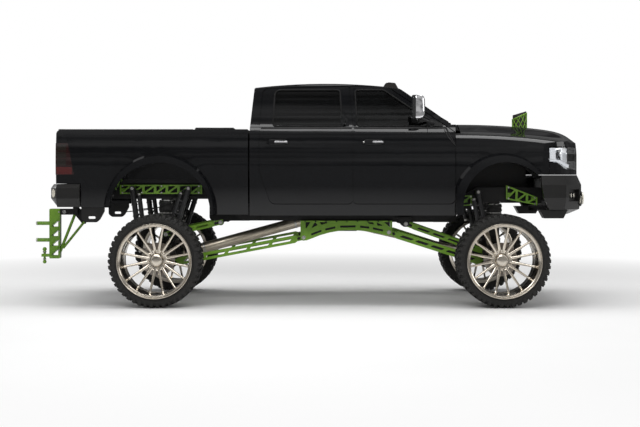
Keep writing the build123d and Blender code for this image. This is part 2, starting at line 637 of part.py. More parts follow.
# ---- load bed and tail --------------------------------------------------------------------------
TAILGATE_LOW_Z = 1365
TAILGATE_HALF = 776
TAILGATE_AXIS_X = BED_REAR_X + 21
TAILGATE_AXIS_Z = TAILGATE_LOW_Z + 20
TAILGATE_PIN = 10
TAIL_LAMP_Y = 858
TAIL_LAMP = [(BED_REAR_X - 3, 1444), (-2511, 1444, 10), (-2580, 1790, 10), (BED_REAR_X - 3, 1790)]


def make_bed():
    """Double-walled load bed with wheelhouses, floor, front wall and arch mouldings."""
    side = [(BED_REAR_X, SILL_Z), (BED_FRONT_X, SILL_Z), (BED_FRONT_X, BED_RAIL_Z),
            (BED_REAR_X, BED_RAIL_Z, 46)]
    bed = lower_section(0, SILL_Z + 10, BED_RAIL_Z, BED_REAR_X, BED_FRONT_X) & side_prism(side, -1100, 1100)
    inner = body_half(BED_RAIL_Z) - BED_WALL
    bed = bed - block(BED_REAR_X - 10, BED_FRONT_X - 45, -inner, inner, BED_FLOOR_Z, BED_RAIL_Z + 20)
    bed = bed - block(BED_REAR_X - 10, BED_FRONT_X + 10, -900, 900, SILL_Z - 50,
                      BED_FLOOR_Z - BED_FLOOR_THICK)
    gate_space = TAILGATE_HALF + 5
    bed = bed - block(BED_REAR_X - 10, TAILGATE_AXIS_X + 52, -gate_space, gate_space, SILL_Z,
                      BED_RAIL_Z + 20)
    pieces = []
    for side in (1, -1):
        bed = bed - arch_cut(REAR_ARCH_X, REAR_ARCH_Z, REAR_ARCH_RADIUS, side * 640, side * 1150)
        bed = bed - block(-2800, REAR_ARCH_X - 400, side * 700, side * 1150, SILL_Z, BED_TAIL_Z)
        bed = bed - block(-2800, REAR_BUMPER_FRONT + 6, side * 700, side * 1150, SILL_Z,
                          REAR_BUMPER_TOP + 6)
        house = rod((REAR_ARCH_X, side * 615, REAR_ARCH_Z), (REAR_ARCH_X, side * 880, REAR_ARCH_Z),
                    REAR_ARCH_RADIUS + 22)
        house = house - rod((REAR_ARCH_X, side * 640, REAR_ARCH_Z), (REAR_ARCH_X, side * 900, REAR_ARCH_Z),
                            REAR_ARCH_RADIUS)
        pieces.append(house & block(-2300, -800, side * 600, side * (inner + 20),
                                    BED_FLOOR_Z - BED_FLOOR_THICK, 1700))
        opening = arch_cut(REAR_ARCH_X, REAR_ARCH_Z, REAR_ARCH_RADIUS, 300, 1150)
        moulding = flare(REAR_ARCH_X, REAR_FLARE_Z, REAR_FLARE_RADIUS, opening, BED_FRONT_X, SILL_Z + 10)
        moulding = moulding - block(-2800, REAR_ARCH_X - 400, 700, 1150, SILL_Z, BED_TAIL_Z)
        pieces.append(moulding if side > 0 else mirror(moulding, about=Plane.XZ))
        bed = bed - side_prism(grow(TAIL_LAMP, GAP), side * (TAIL_LAMP_Y - GAP), side * 1100)
    bed = fuse(bed, *pieces)
    for side in (1, -1):
        pin = (TAILGATE_AXIS_X, side * (TAILGATE_HALF - 10), TAILGATE_AXIS_Z)
        bed = bed - rod(pin, (pin[0], side * (TAILGATE_HALF + 41), pin[2]), TAILGATE_PIN + GAP)
    return bed


def make_tailgate():
    """Drop-down tailgate with a lip on top, a handle recess and a hinge pin at each lower corner."""
    gate = side_prism([(BED_REAR_X, TAILGATE_LOW_Z + 6, 8),
                       (BED_REAR_X + TAILGATE_THICK, TAILGATE_LOW_Z + 6, 8),
                       (BED_REAR_X + TAILGATE_THICK, BED_RAIL_Z + 4, 8), (BED_REAR_X - 6, BED_RAIL_Z + 11,
                                                                          6)],
                      -TAILGATE_HALF, TAILGATE_HALF)
    recess = [(-130, 1800, 20), (130, 1800, 20), (130, 1868, 20), (-130, 1868, 20)]
    gate = gate - cross_prism(recess, BED_REAR_X - 20, BED_REAR_X + 24)
    pins = []
    for side in (1, -1):
        root = (TAILGATE_AXIS_X, side * (TAILGATE_HALF - 30), TAILGATE_AXIS_Z)
        pins.append(rod(root, (root[0], side * (TAILGATE_HALF + 38), root[2]), TAILGATE_PIN))
    return fuse(gate, *pins)


def make_tail_lamps():
    lamp = lower_section(-3, 1440, 1795, BED_REAR_X - 3, -2500) & side_prism(TAIL_LAMP, TAIL_LAMP_Y, 1100)
    return both_sides(lamp)


def make_bed_cover():
    """Folded soft cover lying across both bed rails."""
    outline = [(-1205, BED_RAIL_Z), (-745, BED_RAIL_Z), (-775, BED_RAIL_Z + 27), (-1175, BED_RAIL_Z + 27)]
    return side_prism(outline, -930, 930)


def make_rear_bumper():
    """Folded-plate rear bumper with lamp bores in its corners, and a slotted lobe under each bed side."""
    def outline(grown):
        half = REAR_CORNER_Y - grown
        return [(REAR_BUMPER_FRONT, -half), (REAR_BUMPER_FRONT, half), (REAR_CORNER_X, half),
                (REAR_BUMPER_BACK + grown, REAR_BACK_HALF - grown),
                (REAR_BUMPER_BACK + grown, grown - REAR_BACK_HALF), (REAR_CORNER_X, -half)]
    tiers = [(REAR_BUMPER_TOP, 26), (1296, 0), (1184, 0), (1088, 60)]
    layers = []
    for (z_top, grown_top), (z_low, grown_low) in zip(tiers, tiers[1:]):
        top = Wire.make_polygon([(x, y, z_top) for x, y in outline(grown_top)])
        low = Wire.make_polygon([(x, y, z_low) for x, y in outline(grown_low)])
        layers.append(Solid.make_loft([top, low], True))
    bumper = fuse(*layers)
    hollow = [(-2400, -900), (-2400, 900), (-2640, 900), (-2700, 820), (-2700, -820), (-2640, -900)]
    bumper = bumper - plan_prism(hollow, 1000, 1310) - block(-2680, -2400, -900, 900, 1000,
                                                             REAR_BUMPER_TOP + 10)
    bore = rear_lamp_rod(-22, 60, REAR_LAMP_RADIUS + 3)
    bumper = bumper - bore - mirror(bore, about=Plane.XZ)
    arms = both_sides(block(-2720, -2680, FRAME_Y, FRAME_Y + 70, 1180, 1315))
    lobe = [(-2187, BED_TAIL_Z), (-2187, 1040, 20), (-2235, 952, 40), (-2270, 920, 40), (-2395, 920, 40),
            (-2440, 952, 40), (-2442, BED_TAIL_Z)]
    slot = [(-2365, 958, 13), (-2285, 958, 13), (-2285, 986, 13), (-2365, 986, 13)]
    return [fuse(bumper, *arms)] + both_sides(side_prism(lobe, 905, 935, [slot]))


# ---- frame and running gear ---------------------------------------------------------------------
RAIL_TOP = [(-2680, FRAME_TOP_REAR), (-1050, FRAME_TOP_REAR), (-700, FRAME_TOP_MID), (1640, FRAME_TOP_MID),
            (1960, FRAME_TOP_FRONT), (2700, FRAME_TOP_FRONT)]


def make_rail(side):
    """One box-section frame rail, kicked up over both axles, with the upper front link's bracket."""
    low = [(x, z - FRAME_DEPTH) for x, z in reversed(RAIL_TOP)]
    inner = FRAME_Y if side > 0 else -FRAME_Y - FRAME_WIDTH
    x, z = FRONT_HIGH_LINK[0]
    plate = side_prism([(x - 100, 965), (x - 60, z - 8, 30), (x - 24, z - 34, 24), (x + 26, z - 34, 24),
                        (x + 60, 965)], side * TRUSS_Y, side * (TRUSS_Y + 16))
    ear = block(x - 80, x + 40, side * (FRAME_Y + FRAME_WIDTH), side * TRUSS_Y, 935, 960)
    return fuse(side_prism(RAIL_TOP + low, inner, inner + FRAME_WIDTH), plate, ear)


def make_crossmembers():
    """Cross tubes between the rails, with a dropped one under the gearbox."""
    pieces = []
    for x, z in ((-2600, FRAME_TOP_REAR - 110), (-1950, FRAME_TOP_REAR - 60), (-1180, FRAME_TOP_REAR - 60),
                 (-560, FRAME_TOP_MID - 90), (2050, FRAME_TOP_FRONT - 120), (2660, FRAME_TOP_FRONT - 90)):
        pieces.append(block(x - 45, x + 45, -FRAME_Y, FRAME_Y, z - 40, z + 40))
    drop = cross_prism([(-FRAME_Y, 1000), (-FRAME_Y, 850), (FRAME_Y, 850), (FRAME_Y, 1000),
                        (FRAME_Y - 45, 1000),
                        (FRAME_Y - 45, GEARBOX_Z), (45 - FRAME_Y, GEARBOX_Z), (45 - FRAME_Y,
                                                                               1000)], 805, 895)
    return pieces + [drop]


def make_body_mounts():
    pads = []
    for side in (1, -1):
        y = side * (FRAME_Y + FRAME_WIDTH / 2)
        for x in (-2450, -1850, -1200):
            pads.append(block(x - 60, x + 60, y - 38, y + 38, FRAME_TOP_REAR,
                              BED_FLOOR_Z - BED_FLOOR_THICK))
        for x in (-420, 500, 1400):
            pads.append(block(x - 60, x + 60, y - 38, y + 38, FRAME_TOP_MID, CAB_FLOOR_Z))
    return pads


def make_engine():
    """The engine as one plain block at its real place, standing on a cross tube."""
    return block(GEARBOX_FRONT, 2560, -270, 270, FRAME_TOP_FRONT - 80, 1740)


def make_gearbox():
    """Gearbox and transfer case as one housing behind the engine."""
    box = block(GEARBOX_REAR, GEARBOX_FRONT, -150, 150, GEARBOX_Z, CAB_FLOOR_Z - 12)
    bell = block(1500, GEARBOX_FRONT, -190, 190, GEARBOX_Z, CAB_FLOOR_Z - 12)
    transfer = block(400, 620, 100, FRONT_PINION_Y + 60, 780, 1080)
    return fuse(box, bell, transfer)


YOKE_HALF = 110
KINGPIN_RADIUS = 14


def make_axle(x, half, nose_side, yokes):
    """Solid axle: tubes, differential housing and the ends that carry the wheels."""
    pieces = [rod((x, -half, TYRE_RADIUS), (x, half, TYRE_RADIUS), 52)]
    ball = Pos(x, nose_side, TYRE_RADIUS) * Sphere(165)
    pieces.append(ball & block(x - 150, x + 150, nose_side - 140, nose_side + 140, 300, 700))
    reach = PINION_REACH if x < 0 else -PINION_REACH
    pieces.append(rod((x, nose_side, TYRE_RADIUS), (x + reach, nose_side, TYRE_RADIUS), 62))
    bores = []
    for side in (1, -1):
        if not yokes:
            pieces.append(rod((x, side * (half - 60), TYRE_RADIUS),
                              (x, side * (HUB_FACE_Y - GAP), TYRE_RADIUS), 88))
            continue
        pieces.append(block(x - 36, x + 36, side * (half - 20), side * half, TYRE_RADIUS - 125,
                            TYRE_RADIUS + 125))
        for lift in (-1, 1):
            z = TYRE_RADIUS + lift * YOKE_HALF
            pieces.append(block(x - 36, x + 36, side * (half - 20), side * KINGPIN_Y, z - 15, z + 15))
            pieces.append(rod((x, side * KINGPIN_Y, z - 15), (x, side * KINGPIN_Y, z + 15), 36))
        bores.append(rod((x, side * KINGPIN_Y, 300), (x, side * KINGPIN_Y, 700), KINGPIN_RADIUS + GAP))
    axle = fuse(*pieces)
    for bore in bores:
        axle = axle - bore
    return axle


def make_knuckle(side):
    """Steering knuckle turning on its kingpin in the yoke, with the hub and the arm for the tie rod."""
    x = FRONT_AXLE_X
    y = side * KINGPIN_Y
    reach = YOKE_HALF - 15 - GAP
    body = rod((x, y, TYRE_RADIUS - reach), (x, y, TYRE_RADIUS + reach), 38)
    pin = rod((x, y, TYRE_RADIUS - 125), (x, y, TYRE_RADIUS + 125), KINGPIN_RADIUS)
    neck = block(x - 36, x + 36, y, side * 860, TYRE_RADIUS - 80, TYRE_RADIUS + 80)
    hub = rod((x, side * 850, TYRE_RADIUS), (x, side * (HUB_FACE_Y - GAP), TYRE_RADIUS), 88)
    arm = block(x, x + TIE_ROD_AHEAD + 26, y - 24, y + 24, TYRE_RADIUS - 90, TYRE_RADIUS - 62)
    return fuse(body, pin, neck, hub, arm)


def make_tie_rod():
    """Tie rod hung under both steering arms."""
    x = FRONT_AXLE_X + TIE_ROD_AHEAD
    z = TYRE_RADIUS - 115
    bar = rod((x, -KINGPIN_Y, z), (x, KINGPIN_Y, z), 20)
    ends = [rod((x, side * KINGPIN_Y, z - 24), (x, side * KINGPIN_Y, TYRE_RADIUS - 90 - GAP),
                22) for side in (1, -1)]
    return fuse(bar, *ends)


def link_pair(start, end, depth, thick, slots):
    """A slotted link on each side, its outer face against the plane of the brackets."""
    neck = 75
    outline = beam_outline(start, end, depth, 28, neck)
    holes = slanted_slots(start, end, neck, slots, depth * 0.16)
    return both_sides(side_prism(outline, TRUSS_Y - GAP - thick, TRUSS_Y - GAP, holes))


FRONT_LOW_LINK = ((965, 795), (FRONT_AXLE_X - 95, TYRE_RADIUS - 70))
FRONT_HIGH_LINK = ((1157, 890), (FRONT_AXLE_X - 90, TYRE_RADIUS + 50))
REAR_LOW_LINK = ((4, 735), (REAR_AXLE_X + 95, TYRE_RADIUS - 60))
REAR_HIGH_LINK = ((-934, 908), (REAR_AXLE_X + 50, TYRE_RADIUS + 264))


def make_front_links():
    return link_pair(*FRONT_LOW_LINK, 86, 40, 5) + link_pair(*FRONT_HIGH_LINK, 66, 30, 4)


def make_rear_links():
    return link_pair(*REAR_LOW_LINK, 86, 40, 5) + link_pair(*REAR_HIGH_LINK, 66, 30, 2)


ARCH_MIDDLE_X = 524
ARCH_TOP_Z = 818
RAIL_LOW_Z = FRAME_TOP_MID - FRAME_DEPTH


def arch_z(x):
    """Underside of the belly truss: a flat arch, falling further towards the rear pivot."""
    return ARCH_TOP_Z - (0.00050 if x < ARCH_MIDDLE_X else 0.00035) * (x - ARCH_MIDDLE_X) ** 2


def make_belly_trusses():
    """Arched plate under each rail, slotted and webbed, which carries the inner ends of the links."""
    (rx, rz), (fx, fz) = REAR_LOW_LINK[0], FRONT_LOW_LINK[0]
    top = RAIL_LOW_Z - 5
    arch = [(x, arch_z(x)) for x in (80, 190, 300, 410, ARCH_MIDDLE_X, 640, 750, 860)]
    outline = [(rx - 36, rz - 32, 24), (rx + 32, rz - 32, 20)] + arch + [
        (fx - 34, fz - 34, 20), (fx + 38, fz - 34, 24), (fx + 38, top), (rx - 36, top)]
    holes = []
    for x0, x1 in ((88, 205), (248, 362), (415, 590), (640, 745), (785, 900)):
        holes.append([(x, arch_z(x) + rise, 6) for x, rise in ((x0, 34), (x1, 34), (x1, 58), (x0, 58))])
    low = top - 10
    holes += [[(rx + 22, low, 4), (rx + 22, 830, 4), (rx + 78, low, 4)],
              [(rx + 82, 838, 4), (rx + 160, 876, 4), (rx + 128, low, 4)],
              [(rx + 178, low, 4), (rx + 200, 880, 4), (rx + 262, 896, 4), (rx + 270, low, 4)],
              [(fx - 240, low, 4), (fx - 230, 894, 4), (fx - 165, 880, 4), (fx - 180, low, 4)],
              [(fx - 140, low, 4), (fx - 128, 868, 4), (fx - 62, 868, 4)],
              [(fx - 58, low, 4), (fx + 14, 850, 4), (fx + 14, low, 4)]]
    plate = side_prism(outline, TRUSS_Y, TRUSS_Y + TRUSS_THICK, holes)
    flange = block(rx - 36, fx + 38, FRAME_Y + 5, TRUSS_Y + TRUSS_THICK, top, RAIL_LOW_Z)
    return both_sides(fuse(plate, flange))


def lattice(chords, bays, web, y0, y1):
    """Lattice plate between two chord lines, each given by its two ends."""
    (low0, low1), (top0, top1) = chords
    outline = [low0, low1, top1, top0]
    holes = []
    for i in range(bays):
        s0 = (i + 0.12) / bays
        s1 = (i + 0.88) / bays
        corners = []
        for s, rise in ((s0, 0), (s1, 0), (s1, 1), (s0, 1)):
            low = Vector(*low0) + (Vector(*low1) - Vector(*low0)) * s
            top = Vector(*top0) + (Vector(*top1) - Vector(*top0)) * s
            margin = web / (top - low).length
            corners.append(low + (top - low) * (margin if rise == 0 else 1 - margin))
        a, b, c, d = corners
        cut = web * 0.62
        across = (c - a).normalized()
        normal = Vector(-across.Y, across.X) * cut
        first = [a + normal + across * cut * 0.4, c + normal - across * cut, d]
        second = [a - normal + across * cut, b, c - normal - across * cut * 0.4]
        holes += [[(p.X, p.Y, 4) for p in first], [(p.X, p.Y, 4) for p in second]]
    return side_prism(outline, y0, y1, holes)


def make_frame_trusses():
    """Lattice plates that stiffen the rails over the axles, and the shock towers' arms."""
    y0, y1 = TRUSS_Y, TRUSS_Y + TRUSS_THICK
    rear = lattice((((-2069, 1228), (-1144, 1228)), ((-2069, 1330), (-1144, 1330))), 7, 15, y0, y1)
    front = lattice((((2289, 1168), (2639, 1100)), ((2289, 1326), (2639, 1190))), 3, 15, y0, y1)
    small = lattice((((1757, 1088), (1904, 1100)), ((1757, 1205), (1904, 1213))), 1, 13, y0, y1)
    spacers = [block(x - 25, x + 25, FRAME_Y + FRAME_WIDTH, TRUSS_Y, z, z + 40)
               for x, z in ((-2040, 1250), (-1600, 1282), (-1180, 1250), (2320, 1200), (2600, 1150),
                            (1830, 1130))]
    return both_sides(fuse(rear, spacers[0], spacers[1], spacers[2])) + \
        both_sides(fuse(front, spacers[3], spacers[4])) + both_sides(fuse(small, spacers[5]))


# ---- springs, shocks, shafts --------------------------------------------------------------------
SPRING_Y = 465
SEAT_Z = 700


def make_air_springs():
    """Air bellows over a piston between each axle seat and the rail above."""
    springs = []
    for x, top, radius in ((FRONT_AXLE_X - 14, FRAME_TOP_FRONT - FRAME_DEPTH, 84),
                           (REAR_AXLE_X + 55, FRAME_TOP_REAR - FRAME_DEPTH, 92)):
        profile = [(SEAT_Z + GAP, 0), (SEAT_Z + GAP, 58), (SEAT_Z + 190, 58), (SEAT_Z + 190, radius, 20),
                   (SEAT_Z + 300, radius, 20), (SEAT_Z + 310, radius - 16, 8), (SEAT_Z + 320, radius,
                                                                                20), (top - 14, radius, 20),
                   (top - 14, radius - 24), (top - GAP, radius - 24), (top - GAP, 0)]
        face = Face(loop(profile, lambda p: Vector(x + p.Y, SPRING_Y, p.X)))
        springs += both_sides(Solid.revolve(face, 360, Axis((x, SPRING_Y, 0), (0, 0, 1))))
    return springs


SHOCK_Y = 632
EYE_HALF = 38
SHOCKS = (((FRONT_AXLE_X - 72, 585), (1965, 1250)), ((-1830, 590), (-1922, 1290)),
          ((REAR_AXLE_X + 80, 590), (-1290, 1290)))


def make_shocks():
    """Long remote-reservoir shocks, each with a body, a rod and an eye at both ends."""
    shocks = []
    for (x0, z0), (x1, z1) in SHOCKS:
        low = Vector(x0, SHOCK_Y, z0)
        high = Vector(x1, SHOCK_Y, z1)
        way = (high - low).normalized()
        length = (high - low).length
        parts = [rod(low, low + way * (length * 0.5), 13), rod(low + way * (length * 0.38), high, 31),
                 rod(low + way * (length * 0.36), low + way * (length * 0.42), 37),
                 rod(low + way * (length - 46), low + way * (length - 20), 37)]
        for eye in (low, high):
            parts.append(rod((eye.X, SHOCK_Y - EYE_HALF, eye.Z), (eye.X, SHOCK_Y + EYE_HALF, eye.Z), 24))
        shocks += both_sides(fuse(*parts))
    return shocks


def make_shock_arms():
    """Arms from the rails to the upper shock eyes."""
    arms = []
    for _, (x, z) in SHOCKS:
        arms += both_sides(block(x - 22, x + 22, FRAME_Y + FRAME_WIDTH, SHOCK_Y - EYE_HALF - GAP, z - 20,
                                 z + 20))
    return arms


def make_axle_brackets(x, links, shock_ends):
    """Link plates, air-spring seats and shock ears welded to an axle tube."""
    pieces = []
    for side in (1, -1):
        for _, (lx, lz) in links:
            plate = [(lx - 30, lz - 30, 12), (lx + 30, lz - 30, 12), (x + 40, TYRE_RADIUS - 30, 10),
                     (x + 40, TYRE_RADIUS + 30, 10),
                     (lx + 30, lz + 30, 12), (lx - 30, lz + 30, 12)]
            if lx > x:
                plate = [(x - 40, TYRE_RADIUS - 30, 10), (lx + 30, lz - 30, 12), (lx + 30, lz + 30, 12),
                         (x - 40, TYRE_RADIUS + 30, 10)]
            pieces.append(side_prism(plate, side * TRUSS_Y, side * (TRUSS_Y + 16)))
        pieces.append(block(x - 45, x + 45, side * (SPRING_Y - 40), side * (SPRING_Y + 40),
                            TYRE_RADIUS + 20, SEAT_Z - 14))
        spring_x = FRONT_AXLE_X - 14 if x > 0 else REAR_AXLE_X + 55
        pieces.append(rod((spring_x, side * SPRING_Y, SEAT_Z - 20), (spring_x, side * SPRING_Y, SEAT_Z),
                          70))
        for sx, sz in shock_ends:
            reach = (min(sx, x) - 22, max(sx, x) + 22)
            inner = SHOCK_Y - EYE_HALF - GAP
            pieces.append(block(reach[0], reach[1], side * (inner - 16), side * inner, TYRE_RADIUS - 20,
                                sz + 22))
    return pieces


def make_driveshafts():
    """Rear and front driveshafts, each ending square against a pinion nose and the gearbox."""
    def shaft(start, end, radius):
        start = Vector(*start)
        end = Vector(*end)
        way = (end - start).normalized()
        ends = [rod(start, start + way * 110, radius * 0.72), rod(end - way * 110, end, radius * 0.72)]
        bar = fuse(rod(start + way * 90, end - way * 90, radius), *ends)
        return bar
    rear = shaft((REAR_AXLE_X + 160, 0, TYRE_RADIUS + 6), (GEARBOX_REAR + 30, 0, 958), 62)
    rear = rear & block(REAR_AXLE_X + PINION_REACH + GAP, GEARBOX_REAR - GAP, -200, 200, 300, 1300)
    front = shaft((FRONT_AXLE_X - 160, FRONT_PINION_Y, TYRE_RADIUS + 6), (590, FRONT_PINION_Y, 842), 38)
    front = front & block(620 + GAP, FRONT_AXLE_X - PINION_REACH - GAP, 0, 400, 300, 1300)
    return [rear, front]


def make_fuel_tank():
    """Fuel tank inside the left rail behind the cab."""
    tank = side_prism([(-1120, 900, 50), (-605, 900, 50), (-605, 1095, 30), (-1120, 1095, 40)], 130,
                      FRAME_Y - 4)
    return tank


# ---- wheels -------------------------------------------------------------------------------------
def make_tyre(x):
    """Left tyre: tread out to the lug tips, bulged sidewalls and the open inside."""
    low = TYRE_Y - TYRE_WIDTH / 2
    high = TYRE_Y + TYRE_WIDTH / 2
    tread = TYRE_RADIUS
    profile = [(low + 16, BEAD_RADIUS + GAP), (low + 16, LIP_RADIUS + 2), (low + 2, LIP_RADIUS + 18, 10),
               (low, tread - 62, 30), (low + 22, tread - 8, 14),
               (low + 60, tread, 30), (high - 60, tread, 30), (high - 22, tread - 8, 14), (high, tread - 62,
                                                                                           30),
               (high - 2, LIP_RADIUS + 18, 10), (high - 16, LIP_RADIUS + 2), (high - 16, BEAD_RADIUS + GAP),
               (high - 50, BEAD_RADIUS + GAP),
               (high - 34, tread - 70, 30), (high - 60, tread - 38, 20), (low + 60, tread - 38, 20),
               (low + 34, tread - 70, 30), (low + 50, BEAD_RADIUS + GAP)]
    return turned(profile, x, TYRE_RADIUS)


def make_rim(x):
    """Left rim: barrel with both flanges, deep-set spoke disc, hub and cap."""
    inner = TYRE_Y - TYRE_WIDTH / 2
    outer = TYRE_Y + TYRE_WIDTH / 2
    barrel = [(inner - 2, LIP_RADIUS - 6, 4), (inner + 13, LIP_RADIUS - 6, 4), (inner + 15, BEAD_RADIUS),
              (outer - 15, BEAD_RADIUS),
              (outer - 13, LIP_RADIUS, 6), (LIP_Y, LIP_RADIUS, 6), (LIP_Y, LIP_RADIUS - 18, 6), (LIP_Y - 22,
                                                                                                 BEAD_RADIUS - 14, 8),
              (HUB_FACE_Y + 120, SPOKE_RING_RADIUS, 6), (inner - 2, SPOKE_RING_RADIUS, 4)]
    wheel = turned(barrel, x, TYRE_RADIUS)
    disc = turned([(HUB_FACE_Y, 0), (HUB_FACE_Y, 112, 6), (HUB_FACE_Y + 45, 200, 60),
                   (HUB_FACE_Y + 72, SPOKE_RING_RADIUS + 3),
                   (HUB_FACE_Y + 108, SPOKE_RING_RADIUS + 3), (HUB_FACE_Y + 78, 180, 60), (HUB_FACE_Y + 62,
                                                                                           108, 6),
                   (HUB_FACE_Y + 62, 69), (HUB_FACE_Y + 112, 66, 4), (HUB_FACE_Y + 116, 0)], x, TYRE_RADIUS)
    spokes = [turned([(HUB_FACE_Y - 5, 0), (HUB_FACE_Y - 5, 118), (HUB_FACE_Y + 130, 118),
                      (HUB_FACE_Y + 130, 0)], x, TYRE_RADIUS)]
    spokes.append(turned([(HUB_FACE_Y + 40, SPOKE_RING_RADIUS - 16),
                          (HUB_FACE_Y + 40, SPOKE_RING_RADIUS + 4),
                          (HUB_FACE_Y + 120, SPOKE_RING_RADIUS + 4), (HUB_FACE_Y + 120,
                                                                      SPOKE_RING_RADIUS - 16)], x,
                                                                      TYRE_RADIUS))
    for i in range(SPOKES):
        angle = 360 * (i + 0.5) / SPOKES
        arm = [(100, -17), (SPOKE_RING_RADIUS - 4, -11), (SPOKE_RING_RADIUS - 4, 11), (100, 17)]
        spoke = prism(arm, lambda p: Vector(p.X, HUB_FACE_Y - 5, p.Y), (0, 140, 0))
        spokes.append(Pos(x, 0, TYRE_RADIUS) * Rot(0, angle, 0) * spoke)
    return fuse(wheel, disc & fuse(*spokes))


def make_brake_disc(x):
    """Left brake disc turning with the wheel, behind the hub flange."""
    return turned([(HUB_FACE_Y - 58, 96), (HUB_FACE_Y - 58, 185), (HUB_FACE_Y - 24, 185),
                   (HUB_FACE_Y - 24, 120),
                   (HUB_FACE_Y - GAP, 120), (HUB_FACE_Y - GAP, 96)], x, TYRE_RADIUS)


# ---- inside the cab -----------------------------------------------------------------------------
def make_seats():
    """Two front buckets and a rear bench on risers, with backs and head restraints."""
    floor = CAB_FLOOR_Z + 35
    def seat(x, half, y):
        base = side_prism([(x - 40, floor), (x + 400, floor), (x + 430, floor + 190),
                           (x - 60, floor + 190)], y - half + 30, y + half - 30)
        cushion = side_prism([(x - 60, floor + 190), (x + 470, floor + 190), (x + 490, floor + 330, 50),
                              (x - 60, floor + 300, 30)], y - half, y + half)
        back = side_prism([(x - 60, floor + 230, 30), (x + 60, floor + 290, 30), (x - 40, floor + 940, 50),
                           (x - 170, floor + 940, 50)], y - half, y + half)
        rest = side_prism([(x - 170, floor + 930), (x - 70, floor + 930), (x - 80, floor + 1120, 40),
                           (x - 175, floor + 1120, 40)], y - half * 0.5, y + half * 0.5)
        return fuse(base, cushion, back, rest)
    return [seat(640, 265, 420), seat(640, 265, -420), seat(-330, 640, 0)]


COLUMN_END = (1150, 400, 1880)


def make_dashboard():
    """Dashboard with the instrument hood, centre stack and console."""
    floor = CAB_FLOOR_Z + 35
    top = side_prism([(1240, 1760, 60), (1330, 1650, 60), (1560, 1600), (1625, 1700), (1625, 1930),
                      (1560, 1960, 40), (1300, 1930, 60)], -820, 820)
    stack = side_prism([(1180, floor), (1600, floor), (1600, 1700), (1310, 1860, 60), (1220, 1600, 80)],
                       -130, 130)
    console = side_prism([(560, floor), (1200, floor), (1200, 1560, 50), (1120, 1580, 60), (600, 1530, 40)],
                         -130, 130)
    column = rod((1300, 400, 1800), COLUMN_END, 34)
    return fuse(top, stack, console, column)


def make_steering_wheel():
    """Rim, hub and three spokes, seated on the end of the column."""
    along = Vector(-150, 0, 80).normalized()
    plane = Plane(Vector(*COLUMN_END) + along * 15, z_dir=along)
    ring = plane * Torus(186, 15)
    hub = plane * Cylinder(55, 30)
    spokes = [plane * Rot(0, 0, a) * Pos(95, 0, 0) * Box(190, 34, 16) for a in (0, 180, 270)]
    return fuse(ring, hub, *spokes)


# ---- small outer parts --------------------------------------------------------------------------
def make_mirror():
    """Left towing mirror, head turned upright, on its arm from the door's sail plate."""
    head = side_prism([(1179, 2053, 40), (1300, 2053, 50), (1319, 2180, 60), (1290, 2301, 40),
                       (1190, 2301, 50)], 1120, 1330)
    head = head - side_prism([(1172, 2075, 20), (1196, 2075, 20), (1196, 2280, 20), (1172, 2280, 20)], 1140,
                             1310)
    arms = [rod((x, glass_half(z) + 15, z), (1255, 1150, z + 66), 18) for x,
            z in ((1440, 2006), (1392, 2046))]
    sail = make_sail()
    return fuse(head, sail, *arms)


def make_sail():
    """Corner plate of the mirror, lying on the door frame ahead of the window."""
    x = FRONT_CUT_X - 300
    shape = cab_body(-14, -14, SILL_Z, CAB_REAR_X, 1700) - cab_body(0, 0, SILL_Z - 10, CAB_REAR_X - 10,
                                                                    1720)
    return shape & side_prism([(x - 10, WINDOW_LOW_Z - 4, 8), (x + 220, WINDOW_LOW_Z - 12, 8),
                               (x + 190, WINDOW_LOW_Z + 14, 8), (x - 4, WINDOW_LOW_Z + 92, 12)], 700, 1100)


def make_handle(x0, x1):
    """Strap handle standing off the door skin on two feet."""
    z = 1803
    y = body_half(z)
    bar = plan_prism([(x0, y + 20, 6), (x0 + 30, y + 38, 12), (x1 - 30, y + 38, 12), (x1, y + 20, 6),
                      (x1 - 36, y + 22, 6), (x0 + 36, y + 22, 6)], z - 17, z + 17)
    feet = [block(a, a + 34, y - 4, y + 26, z - 14, z + 14) for a in (x0 + 4, x1 - 38)]
    return [bar] + feet


def make_roof_lamps():
    """Row of clearance lamps along the front edge of the roof."""
    lamps = []
    for y in (-560, -160, 0, 160, 560):
        x = 1010
        low = roof_z(x, abs(y) + 35) - 6
        lamp = side_prism([(x - 88, low, 4), (x + 62, low - 6, 4), (x + 26, low + 60, 22),
                           (x - 60, low + 68, 22)], y - 40, y + 40)
        lamps.append(lamp - cab_outer)
    return lamps


def make_stack(x, y):
    """Slant-cut stack standing on the hood inside a lattice sleeve."""
    solid = rod((x, y, 1900), (x, y, 2200), 78)
    slant = side_prism([(x - 120, 1850), (x + 120, 1850), (x + 120, 2190), (x - 120, 2118)], y - 120,
                       y + 120)
    pipe_part = (solid - rod((x, y, 1895), (x, y, 2210), 70)) & slant
    return pipe_part - nose_outer


# ---- drop hitch ---------------------------------------------------------------------------------
def make_receiver():
    """Receiver tube on its hanger plate, with the gusset that braces it to the rear crossmember."""
    tube = block(HITCH_X + HITCH_HALF, -2645, -32, 32, 976, 1046)
    hanger = block(-2700, -2645, -60, 60, 976, FRAME_TOP_REAR - 80)
    cheek = side_prism([(-2690, 980), (-2600, 868, 12), (-2556, 868, 12), (-2556, 1010, 12), (-2650, 1060)],
                       -10, 10)
    return fuse(tube, hanger, cheek)


